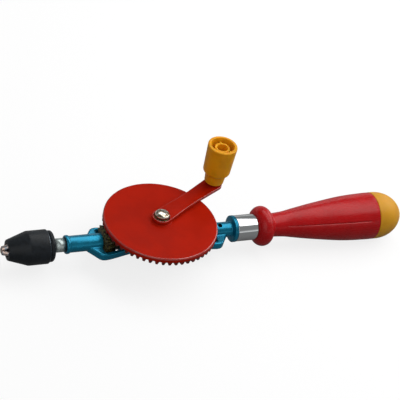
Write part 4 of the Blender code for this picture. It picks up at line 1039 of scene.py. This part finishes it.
class HANDDRILL_OT_shafts(Operator):
    """Dress the spindle, the pinions, their pins and the bushes"""

    bl_idname = "hand_drill.shafts"
    bl_label = "Spindle and pinions"

    def execute(self, context):
        dressed("spindle", "spindle", "turned_steel")
        dressed("idler_axle", "frame", "turned_steel")
        dressed("pinion_pin", "spindle", "turned_steel")
        dressed("idler_axle_pin", "frame", "turned_steel")
        dressed("drive_pinion", "spindle", "greased_teeth")
        dressed("idler_pinion", "idler", "greased_teeth")
        for node in ("nose_bush", "thrust_washer", "pilot_bush"):
            dressed(node, "frame", "sintered_bronze")
        return {"FINISHED"}


class HANDDRILL_OT_grip(Operator):
    """Make the moulded grip with its guard and long grooves, and the ferrule in front of it"""

    bl_idname = "hand_drill.grip"
    bl_label = "Grip and ferrule"

    def execute(self, context):
        plug = FERRULE_RADIUS - FERRULE_WALL - GAP
        centre = GRIP_START + GUARD_HALF_WIDTH
        rise = GUARD_RADIUS - GRIP_NECK_RADIUS
        guard = ellipse((centre, GRIP_NECK_RADIUS), (GUARD_HALF_WIDTH, rise), math.pi, WAIST_ANGLE, 30)
        body = [(GRIP_START + share * GRIP_LENGTH, GRIP_NECK_RADIUS + rise * (GRIP_RADIUS - GRIP_NECK_RADIUS))
                for share, rise in GRIP_SHARES]
        # The guard runs on along its own slope and bends into the neck there
        bend = centre + GUARD_HALF_WIDTH / math.cos(WAIST_ANGLE)
        waist = rounded([(*guard[-1], 0), (bend, GRIP_NECK_RADIUS, WAIST_REACH), (*body[0], 0)], False, 10)
        front = [Vector(point) for point in ((TANG_END, 0), (TANG_END, TANG_BORE), (FERRULE_START, TANG_BORE),
                                             (FERRULE_START, plug), (GRIP_START, plug))]
        end = body[-1][1]
        rear = rounded([
            (GRIP_END - GRIP_END_ROUND - 0.1 * MM, end, 0), (GRIP_END, end, GRIP_END_ROUND),
            (GRIP_END, STORE_RADIUS, 0.3 * MM), (STORE_START, STORE_RADIUS, 0), (STORE_START, 0, 0)])
        profile = front + guard + waist[1:-1] + flowing(body, 110)[:-1] + rear
        shape = spun(profile, 360)
        self.cut_grooves(shape)
        add_piece(shape, "grip", "frame", "grip_plastic", ("handle_grip",), GROOVE_CREASE)
        self.ferrule()
        return {"FINISHED"}

    def cut_grooves(self, shape):
        """Press long grooves into the grip, each with a steep side to the top and a gentle side below it."""
        first = GRIP_START + GROOVE_START * GRIP_LENGTH
        last = GRIP_START + GROOVE_END * GRIP_LENGTH
        apart = FULL_TURN / GROOVES
        steep = sizes().groove_width / GRIP_RADIUS * GROOVE_STEEP_SHARE
        gentle = sizes().groove_width / GRIP_RADIUS - steep
        for vert in shape.verts:
            x, y, z = vert.co
            radius = math.hypot(y, z)
            bore = STORE_RADIUS + 0.5 * MM if x > STORE_START - MM else 9 * MM
            if not first < x < last or radius < bore:
                continue
            angle = math.atan2(z, -y)
            away = (angle - GROOVE_FIRST_ANGLE + apart / 2) % apart - apart / 2
            upward = away if math.cos(angle - away) > 0 else -away
            across = 1 - (upward / steep if upward > 0 else -upward / gentle)
            if across <= 0:
                continue
            ends = min(1.0, (x - first) / GROOVE_FADE, (last - x) / GROOVE_FADE)
            depth = sizes().groove_depth * radius / GRIP_RADIUS * across * math.sqrt(ends)
            vert.co.y -= y / radius * depth
            vert.co.z -= z / radius * depth

    def ferrule(self):
        """The plated tube, rolled in at both ends."""
        end = GRIP_START - GAP
        bore = FERRULE_RADIUS - FERRULE_WALL
        profile = rounded([
            (FERRULE_START, bore, 0.2 * MM), (FERRULE_START, FERRULE_RADIUS, 0.5 * MM),
            (end, FERRULE_RADIUS, 0.4 * MM), (end, bore, 0.2 * MM)], True, 5)
        tube = spun(profile, sizes().fine_steps, ring=True)
        add_piece(tube, "ferrule_tube", "frame", "chrome_plate", ("ferrule",))


class HANDDRILL_OT_end_cap(Operator):
    """Make the domed yellow cap with its hollow spigot"""

    bl_idname = "hand_drill.end_cap"
    bl_label = "End cap"

    def execute(self, context):
        spigot = STORE_RADIUS - GAP
        deep = CAP_START - SPIGOT
        hollow = spigot - SPIGOT_WALL
        dome = ellipse((CAP_START + CAP_SKIRT, 0), (CAP_DOME, GRIP_RADIUS), math.pi / 2, 0, 32)
        dome[-1].y = 0
        front = rounded([
            (CAP_START + CAP_DOME / 4, 0, 0), (CAP_START + CAP_DOME / 4, hollow, 0), (deep, hollow, 0.3 * MM),
            (deep, spigot, 0.8 * MM), (CAP_START, spigot, 0), (CAP_START, GRIP_RADIUS, 0.4 * MM),
            (CAP_START + CAP_SKIRT / 2, GRIP_RADIUS, 0)])
        add_piece(spun(front + dome, sizes().fine_steps), "cap_dome", "cap", "cap_plastic", ("end_cap",))
        return {"FINISHED"}


OPERATORS = (
    HANDDRILL_OT_stage, HANDDRILL_OT_casting, HANDDRILL_OT_gear_wheel, HANDDRILL_OT_wheel_centre,
    HANDDRILL_OT_crank_arm, HANDDRILL_OT_crank_knob, HANDDRILL_OT_chuck, HANDDRILL_OT_shafts,
    HANDDRILL_OT_grip, HANDDRILL_OT_end_cap,
)


class HANDDRILL_PT_panel(Panel):
    """Lists the drill's sizes, colours and pieces"""

    bl_label = "Hand drill"
    bl_space_type = "VIEW_3D"
    bl_region_type = "UI"
    bl_category = "Hand drill"

    def draw(self, context):
        layout = self.layout
        for group in (context.scene.hand_drill_sizes, context.scene.hand_drill_colours):
            column = layout.column()
            for name in type(group).__annotations__:
                column.prop(group, name)
        for operator in OPERATORS:
            layout.operator(operator.bl_idname)


CLASSES = (DrillSizes, DrillColours, *OPERATORS, HANDDRILL_PT_panel)


def register():
    """Register the classes and put the settings on the scene."""
    for cls in CLASSES:
        bpy.utils.register_class(cls)
    bpy.types.Scene.hand_drill_sizes = PointerProperty(type=DrillSizes)
    bpy.types.Scene.hand_drill_colours = PointerProperty(type=DrillColours)


def unregister():
    """Undo register."""
    del bpy.types.Scene.hand_drill_colours
    del bpy.types.Scene.hand_drill_sizes
    for cls in reversed(CLASSES):
        bpy.utils.unregister_class(cls)


def main():
    """Make every piece in order."""
    register()
    for operator in OPERATORS:
        group, name = operator.bl_idname.split(".")
        getattr(getattr(bpy.ops, group), name)()


if __name__ == "__main__":
    main()
